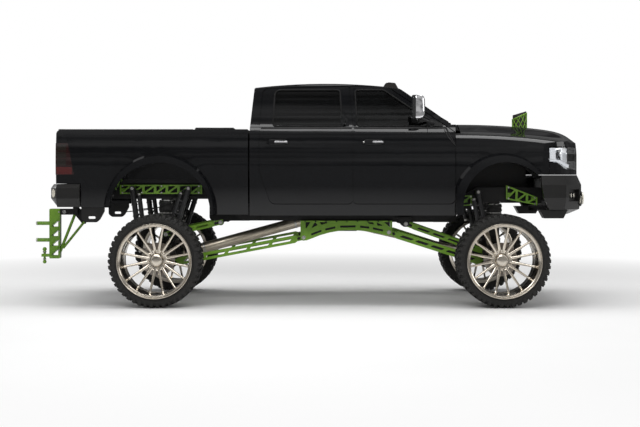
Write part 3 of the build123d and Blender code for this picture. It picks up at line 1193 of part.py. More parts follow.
def make_drop_hitch():
    """Drop hitch in the receiver: tall lattice column, two rear bars, ball mount and braces."""
    x0, x1 = HITCH_X - HITCH_HALF, HITCH_X + HITCH_HALF
    holes = []
    for i in range(4):
        z = 500 + i * 112
        holes.append([(x0 + 20, z, 8), (x1 - 20, z, 8), (x1 - 20, z + 76, 8)])
    column = side_prism([(x0, 465, 14), (x1, 465, 14), (x1, 1046, 14), (x0, 1046, 14)], -48, 48, holes)
    bars = [rod((x0 + 4, 0, z), (BUMPER_X * -1, 0, z), 22) for z in (876, 680)]
    shank = block(-3075, x0 + 4, -28, 28, 484, 516)
    balls = [Pos(-3043, 0, 571) * Sphere(25), rod((-3043, 0, 510), (-3043, 0, 560), 14),
             Pos(-3043, 0, 424) * Sphere(22), rod((-3043, 0, 430), (-3043, 0, 490), 13)]
    braces = [rod((x1 - 6, 0, 540), (-2680, 0, 1000), 17), rod((-2826, 0, 584), (-2578, 0, 892), 15)]
    return fuse(column, shank, *bars, *balls, *braces) - make_receiver()


# ---- write every node ---------------------------------------------------------------------------
def write(name, *shapes):
    solids = [solid for shape in shapes for solid in shape.solids()]
    export_step(Compound(solids), os.path.join("parts", name + ".step"))


os.makedirs("parts", exist_ok=True)

left_front_door = fuse(make_door(FRONT_DOOR, [FRONT_WINDOW]), *make_handle(648, 900))
left_rear_door = fuse(make_door(REAR_DOOR, [REAR_WINDOW]), *make_handle(-405, -153))
left_mirror = make_mirror()
write("front_door_left", left_front_door)
write("front_door_right", mirror(left_front_door, about=Plane.XZ))
write("rear_door_left", left_rear_door)
write("rear_door_right", mirror(left_rear_door, about=Plane.XZ))
for name, window in (("front", FRONT_WINDOW), ("rear", REAR_WINDOW)):
    pane = make_pane(window, 12)
    write(name + "_window_left", pane)
    write(name + "_window_right", mirror(pane, about=Plane.XZ))
write("mirror_left", left_mirror)
write("mirror_right", mirror(left_mirror, about=Plane.XZ))
write("cab_shell", make_cab_shell())
write("cab_glass", *make_screen_glass())
write("seats", *make_seats())
write("dashboard", make_dashboard())
write("steering_wheel", make_steering_wheel())
write("roof_lamps", *make_roof_lamps())

write("hood", make_hood())
write("hood_stack", make_stack(2490, -250))
write("front_fenders", *both_sides(make_fenders()))
write("wheel_liners", *[piece for liner in make_liner() for piece in both_sides(liner)])
write("headlamps", *make_headlamps())
write("grille_surround", make_fascia())
write("grille", make_grille())
write("front_bumper", make_front_bumper())
write("bumper_lamps", *make_bumper_lamps())

write("bed", make_bed())
write("tailgate", make_tailgate())
write("tail_lamps", *make_tail_lamps())
write("bed_cover", make_bed_cover())
write("rear_bumper", *make_rear_bumper())
write("drop_hitch", make_drop_hitch())

write("frame_rails", make_rail(1), make_rail(-1))
write("crossmembers", *make_crossmembers(), *make_body_mounts(), make_receiver())
write("engine_block", make_engine())
write("gearbox", make_gearbox())
write("fuel_tank", make_fuel_tank())
write("driveshafts", *make_driveshafts())
front_brackets = make_axle_brackets(FRONT_AXLE_X, (FRONT_LOW_LINK, FRONT_HIGH_LINK), [SHOCKS[0][0]])
rear_brackets = make_axle_brackets(REAR_AXLE_X, (REAR_LOW_LINK, REAR_HIGH_LINK),
                                   [SHOCKS[1][0], SHOCKS[2][0]])
write("front_axle", fuse(make_axle(FRONT_AXLE_X, KINGPIN_Y - 50, FRONT_PINION_Y, True), *front_brackets))
write("rear_axle", fuse(make_axle(REAR_AXLE_X, HUB_FACE_Y - 40, 0, False), *rear_brackets))
write("knuckle_left", make_knuckle(1))
write("knuckle_right", make_knuckle(-1))
write("tie_rod", make_tie_rod())
write("front_links", *make_front_links())
write("rear_links", *make_rear_links())
write("belly_trusses", *make_belly_trusses())
write("frame_trusses", *make_frame_trusses(), *make_shock_arms())
write("air_springs", *make_air_springs())
write("shocks", *make_shocks())

for place, x in (("front", FRONT_AXLE_X), ("rear", REAR_AXLE_X)):
    for kind, shape in (("tyre", make_tyre(x)), ("rim", make_rim(x)), ("brake_disc", make_brake_disc(x))):
        write(kind + "_" + place + "_left", shape)
        write(kind + "_" + place + "_right", mirror(shape, about=Plane.XZ))
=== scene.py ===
"""Pickup truck on a tall lattice suspension lift: finishes, fine pieces, studio and camera."""
import itertools
import math

import bmesh
import bpy
from mathutils import Matrix, Vector
from mathutils.bvhtree import BVHTree


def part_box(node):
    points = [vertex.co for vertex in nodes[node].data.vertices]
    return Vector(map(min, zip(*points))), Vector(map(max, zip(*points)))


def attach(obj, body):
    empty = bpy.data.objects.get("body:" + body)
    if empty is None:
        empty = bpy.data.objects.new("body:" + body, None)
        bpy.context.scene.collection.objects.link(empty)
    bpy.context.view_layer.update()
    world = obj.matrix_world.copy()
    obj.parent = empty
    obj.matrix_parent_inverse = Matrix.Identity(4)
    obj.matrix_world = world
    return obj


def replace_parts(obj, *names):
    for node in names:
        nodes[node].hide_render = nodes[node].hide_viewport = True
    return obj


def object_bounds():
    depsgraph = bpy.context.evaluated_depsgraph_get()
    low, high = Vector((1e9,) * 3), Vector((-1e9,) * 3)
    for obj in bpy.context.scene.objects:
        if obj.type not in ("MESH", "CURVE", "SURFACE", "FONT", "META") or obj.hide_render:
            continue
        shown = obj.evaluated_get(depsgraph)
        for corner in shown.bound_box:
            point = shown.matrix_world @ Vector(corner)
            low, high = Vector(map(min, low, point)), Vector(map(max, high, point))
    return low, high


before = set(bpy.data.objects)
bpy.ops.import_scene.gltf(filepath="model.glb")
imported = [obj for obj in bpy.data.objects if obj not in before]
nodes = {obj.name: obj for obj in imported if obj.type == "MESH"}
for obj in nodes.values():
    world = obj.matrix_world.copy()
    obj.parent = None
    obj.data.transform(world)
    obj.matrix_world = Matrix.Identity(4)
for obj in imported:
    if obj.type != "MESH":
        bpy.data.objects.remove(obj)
cad_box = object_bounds()

SIDES = (("left", 1), ("right", -1))
ENDS = ("front", "rear")
X_AXIS, Y_AXIS, Z_AXIS = (1, 0, 0), (0, 1, 0), (0, 0, 1)
BEVEL_ANGLE = 0.35
STRIP_SINK = 0.002
BOX_FACES = [(0, 1, 3, 2), (4, 6, 7, 5), (0, 4, 5, 1), (2, 3, 7, 6), (0, 2, 6, 4), (1, 5, 7, 3)]


# ---- shapes -------------------------------------------------------------------------------------
def spin(steps, start=0.0):
    """Angles of a full turn in equal steps."""
    return [2 * math.pi * (i + start) / steps for i in range(steps)]


def circle(centre, u, v, radius, steps):
    """Ring of points round a centre in the plane of u and v."""
    return [centre + (u * math.cos(t) + v * math.sin(t)) * radius for t in spin(steps)]


def headings(points, closed):
    """Way of travel at each point of a run."""
    count = len(points)
    ways = []
    for i, here in enumerate(points):
        ahead = points[(i + 1) % count] if closed or i + 1 < count else here
        behind = points[i - 1] if closed or i > 0 else here
        ways.append((ahead - behind).normalized())
    return ways


def band(half, inner, outer, lip=0.0):
    """Profile of a collar that is the same on both sides of its middle."""
    return [(-half, inner), (lip - half, outer), (half - lip, outer), (half, inner)]


class Form:
    """Gathers solid shapes into one mesh, then places it as a finished piece."""

    def __init__(self):
        self.bm = bmesh.new()

    def add(self, points, faces, bevel=0.0):
        """Adds one closed shape from its points and faces, its edges rounded by bevel."""
        verts = [self.bm.verts.new(p) for p in points]
        made = [self.bm.faces.new([verts[i] for i in face]) for face in faces]
        bmesh.ops.recalc_face_normals(self.bm, faces=made)
        if bevel > 0:
            edges = dict.fromkeys(e for f in made for e in f.edges if e.calc_face_angle(0.0) > BEVEL_ANGLE)
            bmesh.ops.bevel(self.bm, geom=list(edges), offset=bevel, segments=2, profile=0.6, affect="EDGES",
                            clamp_overlap=True)

    def box(self, one, other, bevel=0.003, turn=None):
        """Block between two opposite corners, turned by a matrix when one is given."""
        points = [Vector(p) for p in itertools.product(*(sorted(pair) for pair in zip(one, other)))]
        self.add([turn @ p for p in points] if turn else points, BOX_FACES, bevel)

    def loft(self, rings, closed=False, bevel=0.0):
        """Skin over rings that all have the same number of points, capped unless closed."""
        count = len(rings[0])
        faces = []
        for i in range(len(rings) if closed else len(rings) - 1):
            a, b = i * count, (i + 1) % len(rings) * count
            faces += [(a + j, a + (j + 1) % count, b + (j + 1) % count, b + j) for j in range(count)]
        if not closed:
            faces += [tuple(range(count)), tuple(range((len(rings) - 1) * count, len(rings) * count))]
        self.add([p for ring in rings for p in ring], faces, bevel)

    def plate(self, outline, axis, start, depth, bevel=0.002):
        """Flat outline pushed from start through depth along an axis.

        The outline is in (y, z) for the axis "x" and in (x, z) for the axis "y".
        """
        ring = [Vector((start, a, b) if axis == "x" else (a, start, b)) for a, b in outline]
        shift = Vector((depth, 0, 0) if axis == "x" else (0, depth, 0))
        self.loft([ring, [p + shift for p in ring]], bevel=bevel)

    def turned(self, profile, centre, axis=Y_AXIS, steps=48, closed=False):
        """Round shape from (along, radius) pairs about an axis through centre."""
        centre, axis = Vector(centre), Vector(axis).normalized()
        side = axis.orthogonal().normalized()
        other = axis.cross(side)
        self.loft([circle(centre + axis * along, side, other, max(radius, 1e-4), steps)
                   for along, radius in profile], closed=closed)

    def rod(self, start, end, radius, steps=16, chamfer=0.0):
        """Round bar between two points with chamfered ends."""
        start, end = Vector(start), Vector(end)
        length = (end - start).length
        c = min(chamfer, radius * 0.6, length * 0.4)
        profile = [(0, radius - c), (c, radius), (length - c, radius), (length, radius - c)]
        self.turned(profile if c > 0 else profile[::3], start, end - start, steps)

    def tube(self, points, radius, steps=10, closed=False):
        """Round tube along a run of points."""
        points = [Vector(p) for p in points]
        rings, up = [], None
        for point, way in zip(points, headings(points, closed)):
            if up is None:
                up = way.orthogonal().normalized()
            up = (up - way * up.dot(way)).normalized()
            rings.append(circle(point, up, way.cross(up), radius, steps))
        self.loft(rings, closed=closed)

    def strip(self, spots, width, height, closed=False, crown=0.5):
        """Low crowned moulding that lies on a surface along its (point, normal) spots."""
        top, shoulder = height + STRIP_SINK, height * crown + STRIP_SINK
        section = ((-1, 0), (-1, shoulder), (-0.6, top), (0.6, top), (1, shoulder), (1, 0))
        rings = []
        for (point, normal), way in zip(spots, headings([p for p, _ in spots], closed)):
            out = normal.normalized()
            across = way.cross(out).normalized()
            base = point - out * STRIP_SINK
            rings.append([base + across * (width / 2) * a + out * b for a, b in section])
        self.loft(rings, closed=closed)

    def hexagon(self, centre, axis, across, height):
        """Hexagon bolt head with a washer under it."""
        centre, axis = Vector(centre), Vector(axis).normalized()
        self.turned([(0, across * 0.68), (across * 0.12, across * 0.68)], centre, axis, 20)
        radius = across / math.sqrt(3)
        self.turned([(0, radius), (height * 0.8, radius), (height, radius * 0.86)],
                    centre + axis * across * 0.12, axis, 6)

    def ball(self, centre, radius, steps=16):
        """Round knob."""
        turns = [math.pi * i / steps for i in range(steps + 1)]
        self.turned([(-radius * math.cos(t), radius * math.sin(t)) for t in turns], centre, Z_AXIS, steps * 2)

    def mirrored(self):
        """Adds the mirror image over the middle plane of the truck."""
        whole = self.bm.verts[:] + self.bm.edges[:] + self.bm.faces[:]
        copy = bmesh.ops.duplicate(self.bm, geom=whole)["geom"]
        for item in copy:
            if isinstance(item, bmesh.types.BMVert):
                item.co.y = -item.co.y
        bmesh.ops.reverse_faces(self.bm, faces=[item for item in copy if isinstance(item, bmesh.types.BMFace)])

    def mesh(self, name, smooth=35):
        """Turns the gathered shapes into a smooth-shaded mesh with sharp edges kept."""
        bmesh.ops.remove_doubles(self.bm, verts=self.bm.verts[:], dist=1e-6)
        mesh = bpy.data.meshes.new(name)
        self.bm.to_mesh(mesh)
        self.bm.free()
        mesh.shade_smooth()
        mesh.set_sharp_from_angle(angle=math.radians(smooth))
        return mesh

    def piece(self, name, material, body="chassis", slot=None, smooth=35):
        """Places the form on a body; slot is not used."""
        return place(self.mesh(name, smooth), name, body, material)


def linked(name, data):
    """New object in the scene that shows the given data."""
    obj = bpy.data.objects.new(name, data)
    bpy.context.collection.objects.link(obj)
    return obj


def place(mesh, name, body, material):
    """Puts a mesh in the scene as a piece that rides on a body."""
    obj = linked(name, mesh)
    mesh.materials.clear()
    mesh.materials.append(material)
    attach(obj, body)
    return obj


def moved_mesh(mesh, name, matrix):
    """Copy of a mesh put through a matrix, with its faces turned back out when mirrored."""
    copy = mesh.copy()
    copy.name = name
    copy.transform(matrix)
    if matrix.determinant() < 0:
        copy.flip_normals()
    return copy


class Skin:
    """Outer surface of some CAD nodes, for pieces that lie on it."""

    def __init__(self, *names):
        points, faces = [], []
        for name in names:
            mesh = nodes[name].data
            first = len(points)
            points += [v.co.copy() for v in mesh.vertices]
            faces += [[first + i for i in p.vertices] for p in mesh.polygons]
        self.tree = BVHTree.FromPolygons(points, faces)

    def hit(self, start, way):
        """First point met from start along way, with the outward normal there."""
        start, way = Vector(start), Vector(way).normalized()
        point, normal, _, _ = self.tree.ray_cast(start, way)
        if point is None:
            point, normal, _, _ = self.tree.find_nearest(start)
        return point, -normal if normal.dot(way) > 0 else normal

    def side(self, x, z, sign):
        """Point on the flank at x, z, on the left (1) or the right (-1)."""
        return self.hit((x, 2.0 * sign, z), (0, -sign, 0))

    def end(self, y, z, sign):
        """Point on the front (1) or the rear (-1) at y, z."""
        return self.hit((4.0 * sign, y, z), (-sign, 0, 0))

    def top(self, x, y):
        """Point on the top at x, y."""
        return self.hit((x, y, 4.0), (0, 0, -1))


def rectangle(x0, x1, z0, z1):
    """Corners of a rectangle."""
    return [(x0, z0), (x1, z0), (x1, z1), (x0, z1)]


def rounded(corners, radius, steps=5):
    """Flat outline with its corners rounded; a corner may carry its own radius as a third value."""
    result = []
    count = len(corners)
    for i, corner in enumerate(corners):
        here = Vector(corner[:2])
        r = corner[2] if len(corner) > 2 else radius
        before = Vector(corners[i - 1][:2]) - here
        after = Vector(corners[(i + 1) % count][:2]) - here
        cut = min(r / math.tan(before.angle(after) / 2), before.length * 0.48, after.length * 0.48)
        start, end = here + before.normalized() * cut, here + after.normalized() * cut
        for k in range(steps + 1):
            t = k / steps
            result.append(tuple(start * (1 - t) ** 2 + here * 2 * t * (1 - t) + end * t ** 2))
    return result


def resampled(points, spacing):
    """Evenly spaced points round a closed run of straight lines."""
    run = [Vector(p) for p in points]
    result = []
    for a, b in zip(run, run[1:] + run[:1]):
        count = max(1, int((b - a).length / spacing))
        result += [a + (b - a) * (k / count) for k in range(count)]
    return result


def smooth_run(points, steps=6):
    """Catmull-Rom run through points."""
    points = [Vector(p) for p in points]
    padded = [points[0] * 2 - points[1]] + points + [points[-1] * 2 - points[-2]]
    result = []
    for a, b, c, d in zip(padded, padded[1:], padded[2:], padded[3:]):
        for k in range(steps):
            t = k / steps
            result.append(0.5 * (2 * b + (c - a) * t + (2 * a - 5 * b + 4 * c - d) * t ** 2
                                 + (3 * b - a - 3 * c + d) * t ** 3))
    return result + [points[-1]]


def middle(node_name):
    """Middle of a CAD node's box."""
    low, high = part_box(node_name)
    return (Vector(low) + Vector(high)) / 2


# ---- finishes -----------------------------------------------------------------------------------
def fill(tree, made, values):
    """Fills the inputs of a node: each value is a constant or a socket to link."""
    for key, value in values.items():
        if isinstance(value, bpy.types.NodeSocket):
            tree.links.new(value, made.inputs[key])
        else:
            made.inputs[key].default_value = value
    return made


def node(tree, kind, values=None, **settings):
    """Adds a shader node, sets its properties and fills its inputs."""
    made = tree.nodes.new("ShaderNode" + kind)
    for key, value in settings.items():
        setattr(made, key, value)
    return fill(tree, made, values or {})


def grouped(tree, group, values):
    """Adds a node group, fills its inputs and gives its outputs."""
    return node(tree, "Group", values, node_tree=group).outputs


def maths(tree, operation, *values, clamp=False):
    """Math node; each value is a number or a socket."""
    return node(tree, "Math", dict(enumerate(values)), operation=operation, use_clamp=clamp).outputs[0]


def product(tree, first, *others):
    """Product of numbers or sockets, taken from left to right."""
    for other in others:
        first = maths(tree, "MULTIPLY", first, other)
    return first


def vector_maths(tree, operation, *values):
    """Vector math node; each value is a vector or a socket."""
    return node(tree, "VectorMath", dict(enumerate(values)), operation=operation).outputs[0]


def mixed(tree, factor, a, b):
    """Mixes two colours by a factor."""
    return node(tree, "Mix", {0: factor, 6: a, 7: b}, data_type="RGBA").outputs[2]


def noise(tree, at, scale, detail, roughness=0.5):
    """Noise texture's outputs: its value and its colour."""
    return node(tree, "TexNoise", {"Vector": at, "Scale": scale, "Detail": detail, "Roughness": roughness}).outputs


def ranged(tree, value, low, high, to_low=0.0, to_high=1.0):
    """Maps value from low..high to the new range, clamped."""
    return node(tree, "MapRange", {0: value, 1: low, 2: high, 3: to_low, 4: to_high}).outputs[0]


def object_place(tree):
    """Coordinates that stay with the object."""
    return node(tree, "TexCoord").outputs["Object"]


def bend_normal(tree, strength, distance, height):
    """Bends the shader's normal by a height."""
    bump = node(tree, "Bump", {"Strength": strength, "Distance": distance, "Height": height})
    tree.links.new(bump.outputs[0], tree.nodes["Principled BSDF"].inputs["Normal"])


def rgb(r, g, b):
    """Opaque colour."""
    return (r, g, b, 1.0)


def new_group(name, inputs, *outputs):
    """Node group with inputs (label: value) and outputs (labels); a value of four numbers is a colour."""
    tree = bpy.data.node_groups.new(name, "ShaderNodeTree")
    for label, value in inputs.items():
        kind = "NodeSocketFloat" if isinstance(value, float) else "NodeSocketColor"
        tree.interface.new_socket(label, in_out="INPUT", socket_type=kind).default_value = value
    for label in outputs:
        kind = "NodeSocketColor" if label == "Colour" else "NodeSocketFloat"
        tree.interface.new_socket(label, in_out="OUTPUT", socket_type=kind)
    return tree, tree.nodes.new("NodeGroupInput").outputs, tree.nodes.new("NodeGroupOutput")


def grain_group():
    """Fine uneven height and a slow variation, for cast, moulded and painted surfaces."""
    tree, ins, outs = new_group("Grain", {"Fine Scale": 400.0, "Coarse Scale": 6.0}, "Height", "Variation")
    at = object_place(tree)
    fine = noise(tree, at, ins["Fine Scale"], 3.0)
    coarse = noise(tree, at, ins["Coarse Scale"], 4.0, 0.65)
    fill(tree, outs, {"Height": fine[0], "Variation": ranged(tree, coarse[0], 0.3, 0.7)})
    return tree


def dust_group():
    """Road dust that thickens towards the ground and on faces that look up."""
    tree, ins, outs = new_group("Road dust", {
        "Colour": rgb(0.02, 0.02, 0.02), "Dust": rgb(0.22, 0.19, 0.15), "Amount": 0.3, "Top": 1.2,
        "Roughness": 0.4}, "Colour", "Roughness")
    at = object_place(tree)
    height = node(tree, "SeparateXYZ", {0: at}).outputs[2]
    low = maths(tree, "SUBTRACT", 1.0, maths(tree, "DIVIDE", height, ins["Top"]), clamp=True)
    blotch = ranged(tree, noise(tree, at, 9.0, 6.0, 0.7)[0], 0.38, 0.72)
    speck = ranged(tree, noise(tree, at, 120.0, 2.0)[0], 0.3, 0.6)
    up = node(tree, "SeparateXYZ", {0: node(tree, "NewGeometry").outputs["Normal"]}).outputs[2]
    lift = product(tree, ranged(tree, up, -0.2, 1.0, 0.35, 1.0), ins["Amount"])
    spread = maths(tree, "ADD", product(tree, low, 0.8), 0.2)
    mask = maths(tree, "MULTIPLY", product(tree, blotch, speck, spread), lift, clamp=True)
    rough = maths(tree, "ADD", ins["Roughness"], product(tree, mask, 0.5), clamp=True)
    fill(tree, outs, {"Colour": mixed(tree, mask, ins["Colour"], ins["Dust"]), "Roughness": rough})
    return tree


def brushed_group():
    """Fine turning marks around the wheel axis and small handling marks."""
    tree, ins, outs = new_group("Turned metal", {"Scale": 260.0, "Roughness": 0.2, "Stretch": 0.05},
                                "Height", "Roughness")
    at = object_place(tree)
    stretch = node(tree, "CombineXYZ", {0: ins["Stretch"], 1: 1.0, 2: ins["Stretch"]}).outputs[0]
    marks = noise(tree, vector_maths(tree, "MULTIPLY", at, stretch), ins["Scale"], 2.0)
    smear = maths(tree, "SUBTRACT", noise(tree, at, 14.0, 5.0)[0], 0.5)
    rough = maths(tree, "ADD", ins["Roughness"], product(tree, smear, 0.22), clamp=True)
    fill(tree, outs, {"Height": marks[0], "Roughness": rough})
    return tree


GRAIN, DUST, BRUSHED = grain_group(), dust_group(), brushed_group()


def finish(name, colour, metallic=0.0, roughness=0.4, coat=0.0, coat_roughness=0.03, grain=(400.0, 0.0, 0.0001),
           second=None, dust=None, transmission=0.0, ior=1.5, specular=0.5, brushed=None, sheen=0.0):
    """Material with grain, a slow colour change, and road dust where asked.

    grain is (scale, bump strength, depth); second is the colour that the slow variation reaches;
    dust is (amount, height where it ends); brushed is (scale, stretch, bump strength).
    """
    material = bpy.data.materials.new(name)
    material.use_nodes = True
    tree = material.node_tree
    scale, strength, depth = grain
    texture = grouped(tree, GRAIN, {"Fine Scale": scale})
    height = texture["Height"]
    base = mixed(tree, texture["Variation"], rgb(*colour), rgb(*(second or [c * 0.82 for c in colour])))
    rough = maths(tree, "ADD", product(tree, texture["Variation"], roughness * 0.22), roughness * 0.9)
    if brushed:
        turned = grouped(tree, BRUSHED, {"Scale": brushed[0], "Stretch": brushed[1], "Roughness": roughness})
        rough, height, strength = turned["Roughness"], turned["Height"], brushed[2]
    if dust:
        dusty = grouped(tree, DUST, {"Colour": base, "Amount": dust[0], "Top": dust[1], "Roughness": rough})
        base, rough = dusty["Colour"], dusty["Roughness"]
    fill(tree, tree.nodes["Principled BSDF"], {
        "Base Color": base, "Roughness": rough, "Metallic": metallic, "IOR": ior, "Specular IOR Level": specular,
        "Coat Weight": coat, "Coat Roughness": coat_roughness, "Transmission Weight": transmission,
        "Sheen Weight": sheen})
    if strength > 0:
        bend_normal(tree, strength, depth, height)
    return material


def leather(name, colour):
    """Creased leather: pebbles with soft valleys, darkened there as painted shade."""
    material = finish(name, colour, roughness=0.5, sheen=0.1)
    tree = material.node_tree
    at = object_place(tree)
    shifted = vector_maths(tree, "ADD", at, noise(tree, at, 60.0, 2.0)["Color"])
    cells = node(tree, "TexVoronoi", {"Vector": vector_maths(tree, "ADD", shifted, at), "Scale": 260.0},
                 feature="DISTANCE_TO_EDGE")
    valley = ranged(tree, cells.outputs[0], 0.0, 0.12)
    # Valleys between the pebbles are darkened to 45 % of the colour: painted shade.
    fill(tree, tree.nodes["Principled BSDF"],
         {"Base Color": mixed(tree, valley, rgb(*[c * 0.45 for c in colour]), rgb(*colour))})
    bend_normal(tree, 0.35, 0.001, valley)
    return material


def cloth(name, colour):
    """Woven cloth from two crossed waves."""
    material = finish(name, colour, roughness=0.85, sheen=0.25)
    tree = material.node_tree
    at = object_place(tree)
    warp, weft = (node(tree, "TexWave", {"Vector": at, "Scale": 900.0, "Distortion": 0.6}, bands_direction=way)
                  for way in "XY")
    bend_normal(tree, 0.3, 0.0008, maths(tree, "MAXIMUM", warp.outputs["Fac"], weft.outputs["Fac"]))
    return material


PAINT = finish("Gloss black paint", (0.0040, 0.0042, 0.0050), roughness=0.035, specular=0.34,
               grain=(60.0, 0.010, 0.0005), second=(0.0032, 0.0034, 0.0040), dust=(0.03, 1.2))
BUMPER_PAINT = finish("Satin black bumper coat", (0.0095, 0.0092, 0.009), roughness=0.3, specular=0.35,
                      grain=(900.0, 0.12, 0.0005), dust=(0.07, 1.6))
LIFT_GREEN = finish("Lime powder coat", (0.150, 0.300, 0.020), roughness=0.36, coat=0.15, coat_roughness=0.2,
                    specular=0.35, grain=(500.0, 0.12, 0.0004), second=(0.105, 0.240, 0.014), dust=(0.07, 1.7))
FRAME_BLACK = finish("Satin frame black", (0.006, 0.006, 0.0065), roughness=0.45, specular=0.25,
                     grain=(600.0, 0.25, 0.0006), second=(0.009, 0.0085, 0.008), dust=(0.10, 1.5))
SOOT_BLACK = finish("Heat-dulled black pipe", (0.014, 0.013, 0.012), roughness=0.5, metallic=0.3,
                    second=(0.03, 0.027, 0.022), grain=(300.0, 0.2, 0.0004))
CAST_BLACK = finish("Black cast metal", (0.010, 0.010, 0.011), roughness=0.5, specular=0.3,
                    grain=(350.0, 0.6, 0.0012), second=(0.016, 0.014, 0.012), dust=(0.12, 1.3))
GLASS = finish("Dark tinted glass", (0.035, 0.038, 0.04), roughness=0.01, transmission=1.0, ior=1.45)
LENS = finish("Clear lens", (0.97, 0.98, 0.985), roughness=0.015, transmission=1.0, ior=1.06, coat=1.0,
              second=(0.95, 0.965, 0.97))
RED_LENS = finish("Smoked red lens", (0.085, 0.006, 0.005), roughness=0.06, coat=0.4, second=(0.045, 0.005, 0.005))
SMOKED_RED = finish("Dark smoked red lens", (0.016, 0.0035, 0.0035), roughness=0.06, coat=0.4,
                    second=(0.011, 0.003, 0.003))
LAMP_HOUSING = finish("Satin lamp housing", (0.50, 0.51, 0.53), metallic=0.9, roughness=0.22, second=(0.36, 0.37, 0.39))
SMOKED_LENS = finish("Smoked amber lens", (0.012, 0.009, 0.007), roughness=0.08, coat=0.4)
PALE_LENS = finish("Pale lamp lens", (0.75, 0.72, 0.62), roughness=0.12, coat=0.9, second=(0.6, 0.56, 0.46))
CHROME = finish("Bright chrome", (0.82, 0.82, 0.83), metallic=1.0, roughness=0.05, second=(0.74, 0.74, 0.76))
PLASTIC = finish("Grained black plastic", (0.011, 0.011, 0.0115), roughness=0.6, specular=0.3,
                 grain=(1400.0, 0.5, 0.0004), dust=(0.06, 1.4))
GLOSS_TRIM = finish("Gloss black trim", (0.006, 0.006, 0.007), roughness=0.08, coat=0.5)
SEAL = finish("Black rubber seal", (0.006, 0.006, 0.006), roughness=0.7, specular=0.15, grain=(900.0, 0.3, 0.0003))
TYRE = finish("Tyre rubber", (0.0105, 0.0103, 0.010), roughness=0.72, specular=0.32, grain=(520.0, 0.5, 0.0009),
              second=(0.016, 0.0155, 0.0145), dust=(0.10, 1.1))
ALLOY = finish("Polished wheel alloy", (0.61, 0.56, 0.485), metallic=1.0, roughness=0.13,
               second=(0.52, 0.47, 0.40), brushed=(180.0, 0.4, 0.03))
MILLED = finish("Milled alloy", (0.46, 0.45, 0.43), metallic=1.0, roughness=0.34, brushed=(420.0, 0.08, 0.15))
SHAFT = finish("Satin silver tube", (0.62, 0.56, 0.46), metallic=0.85, roughness=0.33, second=(0.48, 0.42, 0.33),
               grain=(260.0, 0.15, 0.0006), dust=(0.3, 1.3))
STEEL = finish("Plated steel", (0.55, 0.55, 0.54), metallic=1.0, roughness=0.28, grain=(500.0, 0.15, 0.0004),
               second=(0.42, 0.41, 0.39))
SHOCK = finish("Shock body", (0.014, 0.014, 0.015), roughness=0.3, specular=0.4, dust=(0.10, 1.4))
RUBBER = finish("Bellows rubber", (0.010, 0.010, 0.010), roughness=0.68, specular=0.3, grain=(300.0, 0.35, 0.0008),
                dust=(0.12, 1.5))
IRON = finish("Machined iron", (0.36, 0.34, 0.32), metallic=1.0, roughness=0.36, second=(0.24, 0.2, 0.17),
              brushed=(300.0, 0.06, 0.25))
HIDE_BLACK = leather("Black seat leather", (0.03, 0.029, 0.028))
COVER = cloth("Coated cover cloth", (0.014, 0.014, 0.015))
MIRROR_GLASS = finish("Mirror glass", (0.75, 0.78, 0.8), metallic=1.0, roughness=0.02)
REFLECTOR = finish("Lamp reflector", (0.72, 0.73, 0.76), metallic=1.0, roughness=0.07, second=(0.55, 0.57, 0.6))
PLATE_WHITE = finish("Blank plate", (0.62, 0.62, 0.60), roughness=0.35, specular=0.4)
BED_LINER = finish("Sprayed bed liner", (0.014, 0.014, 0.0145), roughness=0.75, grain=(700.0, 0.8, 0.0012))

NODE_FINISH = {
    PAINT: "cab_shell front_fenders bed hood tailgate grille_surround front_door_left front_door_right"
           " rear_door_left rear_door_right",
    LIFT_GREEN: "front_links rear_links belly_trusses frame_trusses drop_hitch",
    SOOT_BLACK: "hood_stack",
    FRAME_BLACK: "frame_rails crossmembers",
    BUMPER_PAINT: "front_bumper rear_bumper",
    CAST_BLACK: "front_axle rear_axle knuckle_left knuckle_right tie_rod gearbox engine_block",
    GLASS: "cab_glass front_window_left front_window_right rear_window_left rear_window_right",
    LENS: "headlamps",
    PALE_LENS: "bumper_lamps",
    SMOKED_RED: "tail_lamps",
    SMOKED_LENS: "roof_lamps",
    PLASTIC: "grille wheel_liners dashboard steering_wheel fuel_tank",
    SHAFT: "driveshafts",
    SHOCK: "shocks",
    RUBBER: "air_springs",
    IRON: "brake_disc_front_left brake_disc_front_right brake_disc_rear_left brake_disc_rear_right",
}
for material, names in NODE_FINISH.items():
    for name in names.split():
        for slot in nodes[name].material_slots:
            slot.material = material


# ---- wheels -------------------------------------------------------------------------------------
TYRE_LOW, TYRE_HIGH = (Vector(c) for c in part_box("tyre_front_left"))
TYRE_MIDDLE_Y = (TYRE_LOW.y + TYRE_HIGH.y) / 2
TYRE_RADIUS = (TYRE_HIGH.z - TYRE_LOW.z) / 2
WHEEL_FACE_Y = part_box("rim_front_left")[1][1]
AXLE_X = {end: middle(f"tyre_{end}_left").x for end in ENDS}
CENTRE = (0, 0, 0)
PITCHES = 46
LUG_NUTS = 8
SPOKES = 16
VALVE_ANGLE = 0.1
TREAD_BASE = TYRE_RADIUS - 0.017
CARCASS = [(0.0, TREAD_BASE), (0.10, TREAD_BASE - 0.001), (0.150, TREAD_BASE - 0.003), (0.175, TREAD_BASE - 0.006),
           (0.184, 0.477), (0.1885, 0.462), (0.1905, 0.448), (0.1905, 0.440), (0.1925, 0.438), (0.1925, 0.434),
           (0.1900, 0.431), (0.1890, 0.424), (0.1945, 0.4205), (0.1965, 0.4165), (0.1945, 0.4125), (0.187, 0.4105),
           (0.1815, 0.4090), (0.1812, 0.3846), (0.150, 0.3846), (0.160, 0.430), (0.137, 0.468)]
# Shoulder lug stations: foot y and radius, top y and radius, share of the width.
LUG_OVER = [(0.128, 0.484, 0.128, 0.5075, 1.0), (0.150, 0.484, 0.150, 0.5078, 1.0),
            (0.176, 0.482, 0.179, 0.5055, 1.0), (0.184, 0.478, 0.1925, 0.4965, 0.96),
            (0.186, 0.470, 0.1965, 0.483, 0.9)]
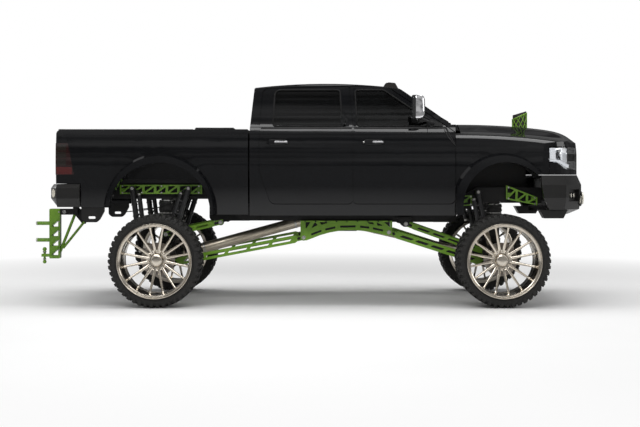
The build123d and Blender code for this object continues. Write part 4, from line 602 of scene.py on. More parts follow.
# Tread blocks: (y, share of the pitch) corners, place along the pitch, how far the top stays under the radius.
TREAD_BLOCKS = (([(0.004, -0.16), (0.034, -0.34), (0.066, -0.20), (0.070, 0.16), (0.040, 0.06), (0.006, 0.22)],
                 0.5, 0.0004),
                ([(0.080, -0.30), (0.118, -0.22), (0.121, 0.24), (0.104, 0.34), (0.083, 0.12)], 0.22, 0.0006))
GUARD_RIB = (((0.1885, 0.4256), (0.1915, 0.4262)), ((0.1890, 0.4318), (0.1918, 0.4312)))
# Spoke stations: radius, front face, half width, thickness.
SPOKE = [(0.090, -0.0365, 0.0175, 0.026), (0.118, -0.0355, 0.0172, 0.026), (0.150, -0.0290, 0.0165, 0.027),
         (0.200, -0.0195, 0.0150, 0.028), (0.250, -0.0105, 0.0136, 0.028), (0.300, -0.0030, 0.0122, 0.028),
         (0.338, 0.0030, 0.0118, 0.027), (0.354, 0.0062, 0.0140, 0.026), (0.3625, 0.0085, 0.0200, 0.026)]
HUB = [(-0.1005, 0.04), (-0.1005, 0.112), (-0.072, 0.120), (-0.050, 0.124), (-0.041, 0.1225), (-0.0370, 0.1185),
       (-0.0362, 0.1130), (-0.0385, 0.1085), (-0.0385, 0.0745), (-0.0350, 0.0715), (-0.02, 0.04)]
HUB_CAP = [(-0.036, 0.0690), (-0.004, 0.0680), (0.0045, 0.0665), (0.0095, 0.0625), (0.0110, 0.0580),
           (0.0100, 0.0545), (0.0118, 0.0515), (0.0140, 0.0380), (0.0148, 0.0200), (0.0150, 0.0)]


def at_angle(y, radius, angle):
    """Point of a wheel that turns about the Y axis through the origin."""
    return Vector((radius * math.cos(angle), y, radius * math.sin(angle)))


def tread_block(form, outline, angle, top):
    """Tread block over a flat outline of (y, arc) corners, with a chamfered top."""
    mid_y, mid_arc = (sum(values) / len(outline) for values in zip(*outline))
    form.loft([[at_angle(mid_y + (y - mid_y) * shrink, radius,
                         angle + (mid_arc + (arc - mid_arc) * shrink) / TYRE_RADIUS) for y, arc in outline]
               for radius, shrink in ((TREAD_BASE - 0.006, 1.06), (top - 0.0035, 1.0), (top, 0.9))])


def shoulder_lug(form, side, angle, width, reach):
    """Lug that runs from the tread over the shoulder and down the sidewall to the radius reach."""
    down = [(0.186, (0.470 + reach) / 2, 0.1968, (0.480 + reach) / 2, 0.84), (0.185, reach, 0.195, reach + 0.003, 0.76)]
    rings = []
    for base_y, base_r, top_y, top_r, share in LUG_OVER + down:
        half = width * share / 2
        edge_y, edge_r = top_y * 0.8 + base_y * 0.2, top_r * 0.8 + base_r * 0.2
        ring = [(base_y, base_r, half * 1.12), (edge_y, edge_r, half), (top_y, top_r, half * 0.84)]
        points = ring + [(y, r, -w) for y, r, w in reversed(ring)]
        rings.append([at_angle(side * y, r, angle + w / TYRE_RADIUS) for y, r, w in points])
    form.loft(rings)


def tyre_mesh():
    """Mud-terrain tyre: carcass with a rim guard, centre chevrons and long and short shoulder lugs."""
    form = Form()
    form.turned(CARCASS + [(-y, r) for y, r in reversed(CARCASS[1:])], CENTRE, steps=144, closed=True)
    pitch = 2 * math.pi / PITCHES
    arc = pitch * TYRE_RADIUS
    for i in range(PITCHES):
        share, reach = ((0.60, 0.447), (0.52, 0.462))[i % 2]
        for side, shift in ((1, 0.0), (-1, 0.5)):
            angle = (i + shift) * pitch
            shoulder_lug(form, side, angle, arc * share, reach)
            for corners, along, sunk in TREAD_BLOCKS:
                tread_block(form, [(side * y, arc * a) for y, a in corners], angle + arc * along / TYRE_RADIUS,
                            TYRE_RADIUS - sunk)
    for angle in spin(PITCHES * 3):
        for side in (1, -1):
            rings = []
            for foot, crest in GUARD_RIB:
                ring = [(*foot, 0.0016), (*crest, 0.0010), (*crest, -0.0010), (*foot, -0.0016)]
                rings.append([at_angle(side * y, r, angle + w / r) for y, r, w in ring])
            form.loft(rings)
    return form.mesh("tyre", 32)


def rim_mesh():
    """Deep-dish rim: rolled lip, set-back crowned spokes, hub with nuts and a domed cap, and a valve."""
    form = Form()
    lip = WHEEL_FACE_Y - TYRE_MIDDLE_Y
    barrel = [(-0.1985, 0.3985), (-0.1965, 0.4025), (-0.186, 0.4025), (-0.183, 0.398), (-0.1818, 0.3838),
              (-0.10, 0.3835), (-0.09, 0.376), (0.09, 0.376), (0.10, 0.3835), (0.1818, 0.3838), (0.183, 0.400),
              (0.186, 0.4080), (0.193, 0.4090), (lip - 0.005, 0.4088), (lip - 0.001, 0.4068), (lip, 0.4035),
              (lip - 0.0005, 0.3995), (lip - 0.004, 0.3965), (lip - 0.0045, 0.3930), (lip - 0.010, 0.3905),
              (lip - 0.0115, 0.3840), (lip - 0.016, 0.3800), (lip - 0.019, 0.3735), (lip - 0.026, 0.3712),
              (0.13, 0.3675), (0.06, 0.3655), (0.020, 0.3640), (0.012, 0.3605), (-0.012, 0.3600), (-0.05, 0.3635),
              (-0.1985, 0.3640)]
    form.turned(barrel, CENTRE, steps=160, closed=True)
    for angle in spin(SPOKES, 0.5):
        out, across = at_angle(0, 1, angle), at_angle(0, 1, angle + math.pi / 2)
        rings = []
        for radius, front, half, thick in SPOKE:
            section = [(-0.80, -thick), (-1.0, -0.012), (-0.94, -0.0042), (-0.66, -0.0008), (0.0, 0.0012),
                       (0.66, -0.0008), (0.94, -0.0042), (1.0, -0.012), (0.80, -thick)]
            rings.append([out * radius + across * (half * a) + Vector((0, front + b, 0)) for a, b in section])
        form.loft(rings)
    form.turned(HUB, CENTRE, steps=96, closed=True)
    form.turned(HUB_CAP, CENTRE, steps=72)
    for angle in spin(LUG_NUTS, 0.25):
        centre = at_angle(-0.0385, 0.0915, angle)
        form.hexagon(centre, Y_AXIS, 0.0215, 0.024)
        form.ball(centre + Vector((0, 0.0265, 0)), 0.0085, 8)
    for angle in spin(SPOKES):
        form.turned([(0, 0.0045), (0.0035, 0.0045), (0.0048, 0.0030)], at_angle(-0.0375, 0.1155, angle), steps=12)
    form.tube([at_angle(y, r, VALVE_ANGLE) for y, r in ((0.018, 0.360), (0.030, 0.352), (0.052, 0.3465))], 0.0042)
    form.rod(at_angle(0.052, 0.3465, VALVE_ANGLE), at_angle(0.066, 0.3430, VALVE_ANGLE), 0.0058, 12, 0.001)
    return form.mesh("rim", 30)


def caliper_mesh(facing):
    """Brake caliper over the disc's edge; facing is 1 ahead of the hub and -1 behind it."""
    form = Form()
    for angle, radius in ((0.30, 0.176), (0.52, 0.180), (0.74, 0.176)):
        centre = at_angle(-0.142, radius, angle)
        centre.x *= facing
        form.box((-0.034, -0.030, -0.030), (0.030, 0.030, 0.030), 0.008,
                 Matrix.Translation(centre) @ Matrix.Rotation(-angle * facing, 4, "Y"))
    for angle in (0.36, 0.68):
        centre = at_angle(-0.112, 0.172, angle)
        centre.x *= facing
        form.turned([(0, 0.017), (0.012, 0.017), (0.014, 0.013)], centre, steps=20)
    return form.mesh("caliper")


tyre_shape, rim_shape = tyre_mesh(), rim_mesh()
for end in ENDS:
    caliper_shape = caliper_mesh(-1 if end == "front" else 1)
    for side, sign in SIDES:
        wheel = f"wheel_{end}_{side}"
        carrier = f"knuckle_{side}" if end == "front" else "chassis"
        spot = Matrix.Translation((AXLE_X[end], sign * TYRE_MIDDLE_Y, TYRE_RADIUS)) @ Matrix.Diagonal((1, sign, 1, 1))
        for shape, label, body, material, part in (
                (tyre_shape, "lugged_tyre", wheel, TYRE, "tyre"), (rim_shape, "spoked_rim", wheel, ALLOY, "rim"),
                (caliper_shape, "brake_caliper", carrier, CAST_BLACK, None)):
            made = place(moved_mesh(shape, f"{label}_mesh", spot), f"{label}_{end}_{side}", body,
                         material)
            if part:
                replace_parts(made, f"{part}_{end}_{side}")


# ---- trim that lies on the body -----------------------------------------------------------------
SKINS = {name: Skin(name) for name in ("front_door_left", "front_door_right", "rear_door_left", "rear_door_right",
                                       "bed", "headlamps", "tail_lamps", "grille_surround", "grille",
                                       "front_bumper", "rear_bumper")}
WINDOWS = {
    "front": [(0.608, 1.984, 0.025), (1.374, 1.984, 0.02), (1.374, 2.050, 0.025), (0.900, 2.382, 0.06),
              (0.584, 2.382, 0.025)],
    "rear": [(-0.324, 1.984, 0.03), (0.426, 1.984, 0.025), (0.400, 2.382, 0.025), (-0.302, 2.382, 0.06)],
}
PILLAR_COVER = {
    "front": [(0.560, 1.976, 2.405), (0.566, 1.976, 2.408), (0.588, 1.976, 2.408)],
    "rear": [(0.415, 1.976, 2.395), (0.470, 1.976, 2.408), (0.502, 1.976, 2.408), (0.508, 1.976, 2.404)],
}
SEAL_GROWTH = (0.027, 0.036)
BELT_Z = 1.957
DOOR_SPAN = {"front": (0.562, 1.665), "rear": (-0.462, 0.538)}
HANDLE_SPAN = {"front": (0.648, 0.900), "rear": (-0.405, -0.153)}
HANDLE_Z = 1.803
INSERT_START = {"front": 0.118, "rear": 0.095}
MIRROR_Y = 1.225
MIRROR_GLASS_X, MIRROR_SEAM_X, MIRROR_DEPTH = 1.184, 1.214, 0.104
MIRROR_LEVELS = [(2.053, 0.66), (2.062, 0.86), (2.085, 0.97), (2.130, 1.0), (2.200, 1.0), (2.255, 0.97),
                 (2.285, 0.88), (2.296, 0.74), (2.301, 0.58)]
MIRROR_SAIL = [(1.366, 1.985, 2.066), (1.376, 1.981, 2.072), (1.45, 1.975, 2.038), (1.53, 1.972, 2.006),
               (1.588, 1.971, 1.984)]


def skin_panel(form, skin, sign, columns, out, into=-0.003, rows=6):
    """Thin plate on a flank: columns are (x, z low, z high); out and into are offsets along the normal."""
    rings = []
    for x, low, high in columns:
        spots = [skin.side(x, low + (high - low) * i / rows, sign) for i in range(rows + 1)]
        rings.append([p + n * out for p, n in spots] + [p + n * into for p, n in reversed(spots)])
    form.loft(rings)


def flank_strip(form, skin, sign, points, width, height, closed=False, crown=0.5):
    """Crowned moulding along (x, z) points of a flank."""
    form.strip([skin.side(x, z, sign) for x, z in points], width, height, closed, crown)


def door_trim(end, side, sign):
    """Window seal, belt moulding, pillar cover, handle cup and insert, and the lock of one door."""
    skin, body, door = SKINS[f"{end}_door_{side}"], f"door_{end}_{side}", f"{end}_{side}"
    outline = resampled(rounded([(x, z, r + 0.01) for x, z, r in WINDOWS[end]], 0.03, 6), 0.03)
    centre = sum(outline, Vector((0, 0))) / len(outline)
    grown = [p + (p - centre) * Vector(SEAL_GROWTH) for p in outline]
    seal, belt, cover, cup, insert = (Form() for _ in range(5))
    flank_strip(seal, skin, sign, grown, 0.017, 0.0035, closed=True, crown=0.35)
    seal.piece(f"window_seal_{door}", SEAL, body)
    x0, x1 = DOOR_SPAN[end]
    flank_strip(belt, skin, sign, [(x0 + (x1 - x0) * i / 12, BELT_Z) for i in range(13)], 0.021, 0.0055, crown=0.2)
    belt.piece(f"belt_moulding_{door}", PLASTIC, body)
    skin_panel(cover, skin, sign, PILLAR_COVER[end], 0.0022)
    cover.piece(f"pillar_cover_{door}", PAINT, body, "black_plastic")
    h0, h1 = HANDLE_SPAN[end]
    face = skin.side((h0 + h1) / 2, HANDLE_Z, sign)[0].y
    cup.plate(rounded(rectangle(h0 + 0.028, h1 - 0.028, 1.772, 1.834), 0.03, 6), "y", face - sign * 0.0185,
              -sign * 0.02, 0)
    cup.piece(f"handle_cup_{door}", PLASTIC, body)
    insert.box((h0 + INSERT_START[end], face + sign * 0.0002, 1.794), (h1 - 0.018, face + sign * 0.0035, 1.812), 0.0015)
    insert.piece(f"handle_insert_{door}", CHROME, body)
    if end == "front":
        lock = Form()
        lock.turned([(0, 0.009), (0.0012, 0.009), (0.002, 0.0075), (0.0021, 0.0)],
                    (h0 + 0.02, face - sign * 0.001, HANDLE_Z), (0, sign, 0), 24)
        lock.piece(f"door_lock_{side}", STEEL, body, "mirror_chrome")


def mirror_level(sign, z, corners, steps, radius=0.03):
    """Rounded outline of the mirror at one height, from corners about its middle."""
    return [Vector((x, sign * (MIRROR_Y + y), z)) for x, y in rounded(corners, radius, steps)]


def mirror_trim(side, sign):
    """Towing mirror: upright chrome cap with a black shell, two glasses, arms and a sail plate."""
    skin, body = SKINS[f"front_door_{side}"], f"door_front_{side}"
    cap, shell, glass, arms = (Form() for _ in range(4))
    cap_rings, shell_rings = [], []
    for z, scale in MIRROR_LEVELS:
        half = 0.105 * (0.80 + 0.20 * scale)
        front = MIRROR_SEAM_X + MIRROR_DEPTH * scale
        cap_rings.append(mirror_level(sign, z, [(MIRROR_SEAM_X, -half, 0.004), (front, -half * 0.86, 0.05),
                                                (front, half * 0.90, 0.05), (MIRROR_SEAM_X, half, 0.004)], 6))
        half -= 0.003
        shell_rings.append(mirror_level(sign, z, [(MIRROR_GLASS_X, -half * 0.97), (MIRROR_SEAM_X, -half),
                                                  (MIRROR_SEAM_X, half), (MIRROR_GLASS_X, half * 0.97)], 3, 0.006))
    cap.loft(cap_rings)
    shell.loft(shell_rings)
    for low, high in ((2.150, 2.284), (2.070, 2.140)):
        outline = rounded(rectangle(-0.088, 0.088, low, high), 0.016)
        glass.plate([(sign * (MIRROR_Y + y), z) for y, z in outline], "x", MIRROR_GLASS_X - 0.0005, 0.004, 0)
    for x, z in ((1.440, 2.006), (1.392, 2.050)):
        root, _ = skin.side(x, z, sign)
        arms.tube(smooth_run([root, root + Vector((-0.03, sign * 0.05, 0.012)),
                              Vector((1.262, sign * 1.10, z + 0.055)), Vector((1.250, sign * 1.16, z + 0.062))]),
                  0.0165, 14)
    arms.box((1.205, sign * 1.105, 2.068), (1.280, sign * 1.155, 2.150), 0.012)
    skin_panel(arms, skin, sign, MIRROR_SAIL, 0.013)
    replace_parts(shell.piece(f"mirror_shell_{side}", PLASTIC, body), f"mirror_{side}")
    cap.piece(f"mirror_cap_{side}", CHROME, body, smooth=40)
    glass.piece(f"mirror_glass_{side}", MIRROR_GLASS, body)
    arms.piece(f"mirror_arms_{side}", PLASTIC, body)


for side, sign in SIDES:
    for end in ENDS:
        door_trim(end, side, sign)
    mirror_trim(side, sign)


# ---- lamps --------------------------------------------------------------------------------------
def headlamp_insides(side, sign):
    """Backing, reflector bowls, projector lenses and light strips inside one headlamp."""
    skin = SKINS["headlamps"]
    backing, bright, lens = Form(), Form(), Form()
    skin_panel(backing, skin, sign, [(2.720, 1.594, 1.740), (2.77, 1.592, 1.742), (2.83, 1.560, 1.742),
                                     (2.89, 1.522, 1.742), (2.94, 1.508, 1.742), (2.975, 1.506, 1.742)], -0.066, -0.074)
    skin_panel(bright, skin, sign, [(2.722, 1.618, 1.738), (2.745, 1.616, 1.740), (2.790, 1.616, 1.740)],
               -0.016, -0.021)
    skin_panel(bright, skin, sign, [(2.716, 1.590, 1.612), (2.80, 1.588, 1.610), (2.86, 1.560, 1.592),
                                    (2.91, 1.528, 1.566), (2.945, 1.520, 1.556)], -0.006, -0.013, 2)
    way = Vector((1.0, sign * 0.12, 0.0)).normalized()
    for x, y, z, radius in ((2.845, 0.868, 1.668, 0.060), (2.930, 0.735, 1.668, 0.066), (2.935, 0.625, 1.640, 0.040)):
        centre = Vector((x, sign * y, z))
        bright.turned([(-0.052, 0.016), (-0.045, radius * 0.52), (-0.026, radius * 0.8), (0.0, radius),
                       (0.004, radius), (0.004, radius * 0.94), (-0.022, radius * 0.72), (-0.040, radius * 0.42),
                       (-0.046, 0.012)], centre, way, 40, closed=True)
        lens.turned([(-0.030, radius * 0.50), (-0.018, radius * 0.53), (-0.008, radius * 0.46),
                     (-0.002, radius * 0.30), (0.0, 0.0)], centre, way, 32)
        for turn in spin(3):
            spot = centre + Vector((0, math.cos(turn + 0.5), math.sin(turn + 0.5))) * radius * 0.9
            bright.rod(spot - way * 0.02, spot + way * 0.005, 0.0035, 8)
    for i in range(6):
        spots = [skin.side(x, 1.628 + i * 0.019, sign) for x in (2.726, 2.75, 2.775, 2.787)]
        bright.strip([(p - n * 0.016, n) for p, n in spots], 0.006, 0.004)
    backing.piece(f"headlamp_backing_{side}", LAMP_HOUSING)
    bright.piece(f"headlamp_reflectors_{side}", REFLECTOR)
    lens.piece(f"headlamp_projectors_{side}", PALE_LENS)


red_bands, smoked_cells = Form(), Form()
for side, sign in SIDES:
    headlamp_insides(side, sign)
    skin = SKINS["tail_lamps"]
    skin_panel(red_bands, skin, sign, [(-2.706, 1.450, 1.528), (-2.62, 1.450, 1.528), (-2.535, 1.450, 1.526)], 0.0012)
    for low in (1.545, 1.627, 1.709):
        skin_panel(smoked_cells, skin, sign, [(x, low, low + 0.07) for x in (-2.704, -2.64, -2.60)], 0.0010)
    for k in range(7):
        flank_strip(red_bands, skin, sign, [(x, 1.458 + k * 0.0105) for x in (-2.70, -2.62, -2.545)], 0.004, 0.0026)
red_bands.piece("tail_lamp_red_bands", RED_LENS)
smoked_cells.piece("tail_lamp_smoked_cells", SMOKED_LENS)


# ---- running gear -------------------------------------------------------------------------------
FRONT_X, REAR_X = AXLE_X["front"], AXLE_X["rear"]
PLATE_FACE = 0.590
BRACKET_FACE = 0.582
RAIL_FACE = 0.520
LINK_MIDDLE = 0.548
SPRING_Y = 0.465
SHOCK_Y = 0.632
SPRING_BASE = 1.020
LINKS = {
    "front_low": ((0.965, 0.795), (FRONT_X - 0.095, TYRE_RADIUS - 0.070)),
    "front_high": ((1.157, 0.890), (FRONT_X - 0.090, TYRE_RADIUS + 0.050)),
    "rear_low": ((0.004, 0.735), (REAR_X + 0.095, TYRE_RADIUS - 0.060)),
    "rear_high": ((-0.934, 0.908), (REAR_X + 0.050, TYRE_RADIUS + 0.264)),
}
LATTICE_BOLTS = ((-2.04, 1.242), (-1.82, 1.242), (-1.60, 1.242), (-1.38, 1.242), (-1.18, 1.242), (-2.04, 1.316),
                 (-1.60, 1.316), (-1.18, 1.316), (2.315, 1.176), (2.315, 1.300), (2.615, 1.118), (2.615, 1.182),
                 (1.775, 1.100), (1.775, 1.190), (1.890, 1.110), (1.890, 1.198))
# Rail height at the bolts: (x, z) of the upper bolt of each pair.
RAIL_BOLTS = ((-2.5, 1.28), (-2.3, 1.28), (-0.55, 1.045), (-0.2, 1.045), (0.25, 1.045), (0.62, 1.045), (1.0, 1.045),
              (1.3, 1.045), (2.45, 1.24))
HITCH_REAR, HITCH_FRONT, HITCH_PIN = -2.979, -2.855, (-2.80, 1.011)


def truss_arch(x):
    """Underside of the belly truss."""
    return 0.818 - (0.50 if x < 0.524 else 0.35) * (x - 0.524) ** 2


def link_ends(joints, bolts):
    """Rod ends with their bolts at both ends of every link."""
    for inner, outer in LINKS.values():
        for (x, z), (far_x, far_z), face in ((inner, outer, PLATE_FACE), (outer, inner, BRACKET_FACE)):
            way = Vector((far_x - x, 0, far_z - z)).normalized()
            eye = Vector((x, LINK_MIDDLE - 0.004, z))
            joints.turned([(-0.029, 0.024), (-0.026, 0.036), (0.0135, 0.036), (0.0165, 0.024)],
                          (x, LINK_MIDDLE, z), steps=36)
            joints.rod(eye + way * 0.025, eye + way * 0.062, 0.026, 24, 0.003)
            joints.hexagon(eye + way * 0.058, way, 0.046, 0.014)
            bolts.hexagon((x, face, z), Y_AXIS, 0.034, 0.018)
            bolts.rod((x, 0.508, z), (x, 0.518, z), 0.020, 6)


def slot_shade_sheets(dark):
    """Dark plates behind the slots of the belly trusses and inside the front links: painted shade seen through the
    slots.
    """
    xs = [0.075 + 0.84 * i / 14 for i in range(15)]
    dark.plate([(x, truss_arch(x) + 0.022) for x in xs] + [(x, truss_arch(x) + 0.070) for x in reversed(xs)],
               "y", 0.5660, 0.010, 0)
    for corners in ([(0.026, 0.836), (0.085, 0.836), (0.27, 0.885), (0.27, 0.9145), (0.026, 0.9145)],
                    [(0.722, 0.885), (0.80, 0.862), (0.978, 0.848), (0.978, 0.9145), (0.722, 0.9145)]):
        dark.plate(corners, "y", 0.5598, 0.0060, 0)
    for name, reach in (("front_low", 0.016), ("front_high", 0.012)):
        a, b = (Vector(p) for p in LINKS[name])
        way = (b - a).normalized()
        up = Vector((-way.y, way.x)) * reach
        start, end = a + way * 0.095, b - way * 0.095
        dark.plate([start - up, end - up, end + up, start + up], "y", LINK_MIDDLE - 0.006, 0.012, 0)


def frame_bolts(bolts, dark_bolts):
    """Bolts through the belly truss flange, the frame lattices, the link brackets and the rails."""
    for i in range(9):
        dark_bolts.hexagon((0.02 + 0.118 * i, PLATE_FACE, 0.9175), Y_AXIS, 0.012, 0.007)
    for x, z in LATTICE_BOLTS:
        bolts.hexagon((x, PLATE_FACE, z), Y_AXIS, 0.015, 0.009)
    for x in (1.085, 1.22):
        dark_bolts.hexagon((x, BRACKET_FACE, 0.945), Y_AXIS, 0.022, 0.010)
    for x, z in RAIL_BOLTS:
        dark_bolts.hexagon((x, RAIL_FACE, z), Y_AXIS, 0.022, 0.011)
        dark_bolts.hexagon((x + 0.05, RAIL_FACE, z - 0.09), Y_AXIS, 0.022, 0.011)


def air_spring_details(rubber, bright, hoses):
    """Lobes, clamp bands, pistons and air lines of the air springs."""
    for x, plate, radius, hose_end in ((FRONT_X - 0.014, 1.125, 0.084, (-0.42, 1.03)),
                                       (REAR_X + 0.055, 1.170, 0.092, (-0.5, 1.02))):
        top = plate - 0.016
        waist = (SPRING_BASE + top) / 2
        for low, high in ((0.893, 1.004), (SPRING_BASE, waist), (waist, top)):
            rubber.turned([(low + (high - low) * i / 8, radius - 0.012 + 0.018 * math.sin(math.pi * i / 8) ** 0.6)
                           for i in range(9)], (x, SPRING_Y, 0), Z_AXIS)
        for z in (0.888, 1.012, top):
            bright.turned(band(0.006, radius - 0.006, radius - 0.001), (x, SPRING_Y, z), Z_AXIS, closed=True)
        rubber.turned([(0.704, 0.066), (0.708, 0.072), (0.722, 0.072), (0.728, 0.060), (0.80, 0.0585),
                       (0.885, 0.0585)], (x, SPRING_Y, 0), Z_AXIS, 40)
        bright.rod((x + 0.055, 0.525, 1.13), (x + 0.055, 0.548, 1.13), 0.009, 6)
        hoses.tube(smooth_run([(x + 0.055, 0.545, 1.13), (x + 0.02, 0.560, 1.12), (x - 0.15, 0.545, 1.06),
                               (x + hose_end[0], 0.528, hose_end[1])], 8), 0.0055, 8)


def shock_details(boots, dark_boots, bodies, caps, hoses, bolts):
    """Ribbed boots, bands, reservoirs with their clamps, hoses and eye bolts of the shocks."""
    for (x0, z0), (x1, z1), boot, turn in (
            ((FRONT_X - 0.072, 0.585), (1.965, 1.250), boots, 1), ((-1.830, 0.590), (-1.922, 1.290), dark_boots, -1),
            ((REAR_X + 0.080, 0.590), (-1.290, 1.290), dark_boots, 1)):
        low, high = Vector((x0, SHOCK_Y, z0)), Vector((x1, SHOCK_Y, z1))
        way, length = (high - low).normalized(), (high - low).length
        side = way.cross(Vector(Y_AXIS)).normalized() * turn
        ribs = []
        for i in range(13):
            at = 0.036 + (0.355 * length - 0.036) * i / 12
            ribs += [(at, 0.019), (at + 0.006, 0.028), (at + 0.011, 0.028)]
        boot.turned(ribs, low, way, 32)
        for share in (0.40, 0.56, 0.74, 0.93):
            bodies.turned(band(0.008, 0.033, 0.0365, 0.002), low + way * length * share, way, 32)
        tank = [low + way * length * share + side * 0.066 for share in (0.50, 0.88)]
        bodies.rod(*tank, 0.026, 28, 0.004)
        for at, flip in zip(tank, (-1, 1)):
            caps.turned([(0, 0.0268), (0.018, 0.0268), (0.022, 0.022), (0.024, 0.0)], at, way * flip, 28)
        for share in (0.58, 0.78):
            clamp = Matrix.Translation(low + way * length * share + side * 0.034)
            bodies.box((-0.028, -0.030, -0.009), (0.028, 0.030, 0.009), 0.004,
                       clamp @ way.to_track_quat("Z", "Y").to_matrix().to_4x4())
        hoses.tube(smooth_run([tank[1] + way * 0.02, tank[1] + way * 0.06 - side * 0.02,
                               high - way * 0.07 + side * 0.045, high - way * 0.085 + side * 0.028], 8), 0.007)
        for eye in (low, high):
            bolts.hexagon((eye.x, 0.670, eye.z), Y_AXIS, 0.026, 0.013)
            bodies.turned(band(0.040, 0.017, 0.027), eye, steps=28, closed=True)


def axle_details():
    """Ribbed differential covers with their bolts, and collars on the axle tubes."""
    cover, bolts = Form(), Form()
    for x, y, way in ((REAR_X, 0.0, -1), (FRONT_X, 0.200, 1)):
        centre = Vector((x + way * 0.066, y, TYRE_RADIUS))
        cover.turned([(0.0, 0.148), (0.016, 0.148), (0.020, 0.140), (0.052, 0.128), (0.078, 0.096), (0.092, 0.050),
                      (0.096, 0.0)], centre, (way, 0, 0))
        for spot in circle(centre + Vector((way * 0.016, 0, 0)), Vector(Y_AXIS), Vector(Z_AXIS), 0.139, 12):
            bolts.hexagon(spot, (way, 0, 0), 0.014, 0.008)
        for k in range(3):
            cover.box((0, -0.112, -0.004), (way * 0.085, 0.112, 0.004), 0.002,
                      Matrix.Translation(centre) @ Matrix.Rotation(math.pi * k / 3, 4, "X"))
        for tube_y in (-0.62, -0.36, 0.36, 0.62):
            cover.turned(band(0.010, 0.053, 0.058, 0.003), (x, tube_y, TYRE_RADIUS), steps=40)
    cover.piece("differential_covers", CAST_BLACK)
    bolts.piece("differential_bolts", STEEL)


def shaft_details():
    """Universal joints and balance bands on both driveshafts."""
    joints, bright = Form(), Form()
    for a, b, radius in (((REAR_X + 0.188, 0.0, TYRE_RADIUS + 0.015), (0.150, 0.0, 0.951), 0.062),
                         ((FRONT_X - 0.188, 0.200, TYRE_RADIUS + 0.012), (0.620, 0.200, 0.836), 0.038)):
        a, b = Vector(a), Vector(b)
        way = (b - a).normalized()
        for at in (a + way * 0.052, b - way * 0.052):
            joints.turned(band(0.030, radius * 0.60, radius * 0.80, 0.008), at, way, 32)
            for axis in (Vector(Y_AXIS), way.cross(Vector(Y_AXIS))):
                joints.rod(at - axis * radius * 1.02, at + axis * radius * 1.02, radius * 0.27, 20, 0.003)
                for flip in (1, -1):
                    bright.rod(at + axis * radius * flip, at + axis * radius * 1.06 * flip, radius * 0.20)
        for share in (0.16, 0.84):
            bright.turned(band(0.012, radius + 0.0005, radius + 0.003, 0.002), a.lerp(b, share), way, 40)
    joints.piece("universal_joints", CAST_BLACK)
    bright.piece("joint_caps", STEEL)


def hitch_details():
    """Side bolts, ball collars, pin, end caps and the finer lattice of the hitch column."""
    bolts, green = Form(), Form()
    pin_x, pin_z = HITCH_PIN
    for sign in (1, -1):
        for z in (0.560, 0.672, 0.784, 0.896, 1.008):
            bolts.hexagon((HITCH_FRONT - 0.012, sign * 0.048, z), (0, sign, 0), 0.014, 0.007)
        for z in (0.500, 0.612, 0.724, 0.836):
            green.tube([(HITCH_REAR + 0.012, sign * 0.049, z + 0.006), (HITCH_FRONT - 0.012, sign * 0.049, z + 0.100)],
                       0.0055, 8)
    for z, radius, flip in ((0.531, 0.025, 1), (0.464, 0.022, -1)):
        bolts.turned([(0, radius * 0.62), (0.006, radius * 0.95), (0.012, radius * 0.95), (0.016, radius * 0.62)],
                     (-3.043, 0, z), (0, 0, flip), 28)
    bolts.rod((pin_x, -0.062, pin_z), (pin_x, 0.062, pin_z), 0.008, 16, 0.002)
    bolts.turned([(-0.004, 0.020), (0.004, 0.020), (0.004, 0.012), (-0.004, 0.012)], (pin_x, -0.064, pin_z),
                 steps=24, closed=True)
    for z in (0.876, 0.680):
        bolts.turned([(0, 0.022), (0.006, 0.0235), (0.012, 0.022)], (-3.138, 0, z), X_AXIS, 28)
    bolts.piece("hitch_bolts", STEEL)
    green.piece("hitch_lattice", LIFT_GREEN)


link_joints, link_bolts, rail_bolts, shade_sheets = (Form() for _ in range(4))
lobes, clamps, hose_runs = (Form() for _ in range(3))
bright_boots, dark_boots, shock_bodies, shock_caps = (Form() for _ in range(4))
link_ends(link_joints, link_bolts)
frame_bolts(link_bolts, rail_bolts)
# The dark plates in the slots stand in for shade: painted shade.
slot_shade_sheets(shade_sheets)
air_spring_details(lobes, clamps, hose_runs)
shock_details(bright_boots, dark_boots, shock_bodies, shock_caps, hose_runs, link_bolts)
hose_runs.tube(smooth_run([(-0.95, 0.529, 1.19), (-1.2, 0.529, 1.20), (REAR_X + 0.12, 0.529, 1.19),
                           (REAR_X + 0.06, 0.50, 1.0), (REAR_X - 0.03, 0.52, 0.72),
                           (REAR_X, 0.60, TYRE_RADIUS + 0.062), (REAR_X, 0.70, TYRE_RADIUS + 0.060)], 8), 0.006, 8)
for form, *row in (
        (link_joints, "link_rod_ends", FRAME_BLACK), (link_bolts, "chassis_bolts", STEEL),
        (rail_bolts, "rail_bolts", FRAME_BLACK), (shade_sheets, "slot_backing_plates", FRAME_BLACK),
        (lobes, "air_spring_lobes", RUBBER), (clamps, "air_spring_clamps", STEEL),
        (hose_runs, "air_and_brake_hoses", RUBBER, "chassis", "black_plastic"),
        (bright_boots, "front_shock_boots", SHAFT), (dark_boots, "rear_shock_boots", RUBBER),
        (shock_bodies, "shock_reservoirs", SHOCK), (shock_caps, "reservoir_caps", MILLED)):
    form.mirrored()
    form.piece(*row)
axle_details()
shaft_details()
hitch_details()


# ---- seats, dashboard and door cards ------------------------------------------------------------
SEAT_FLOOR = 1.185
CREASE_WIDTH = 0.012
# Name, x, half width, y, and the seating places' centres.
SEATS = (("front_left", 0.64, 0.265, 0.42, (0.0,)), ("front_right", 0.64, 0.265, -0.42, (0.0,)),
         ("rear", -0.33, 0.64, 0.0, (-0.41, 0.0, 0.41)))
DIAL_X, DIAL_Z = 1.262, 1.872
DOOR_CARD_FACE = 0.853
DOOR_CARD_SPAN = {"front": (0.70, 1.52), "rear": (-0.34, 0.46)}


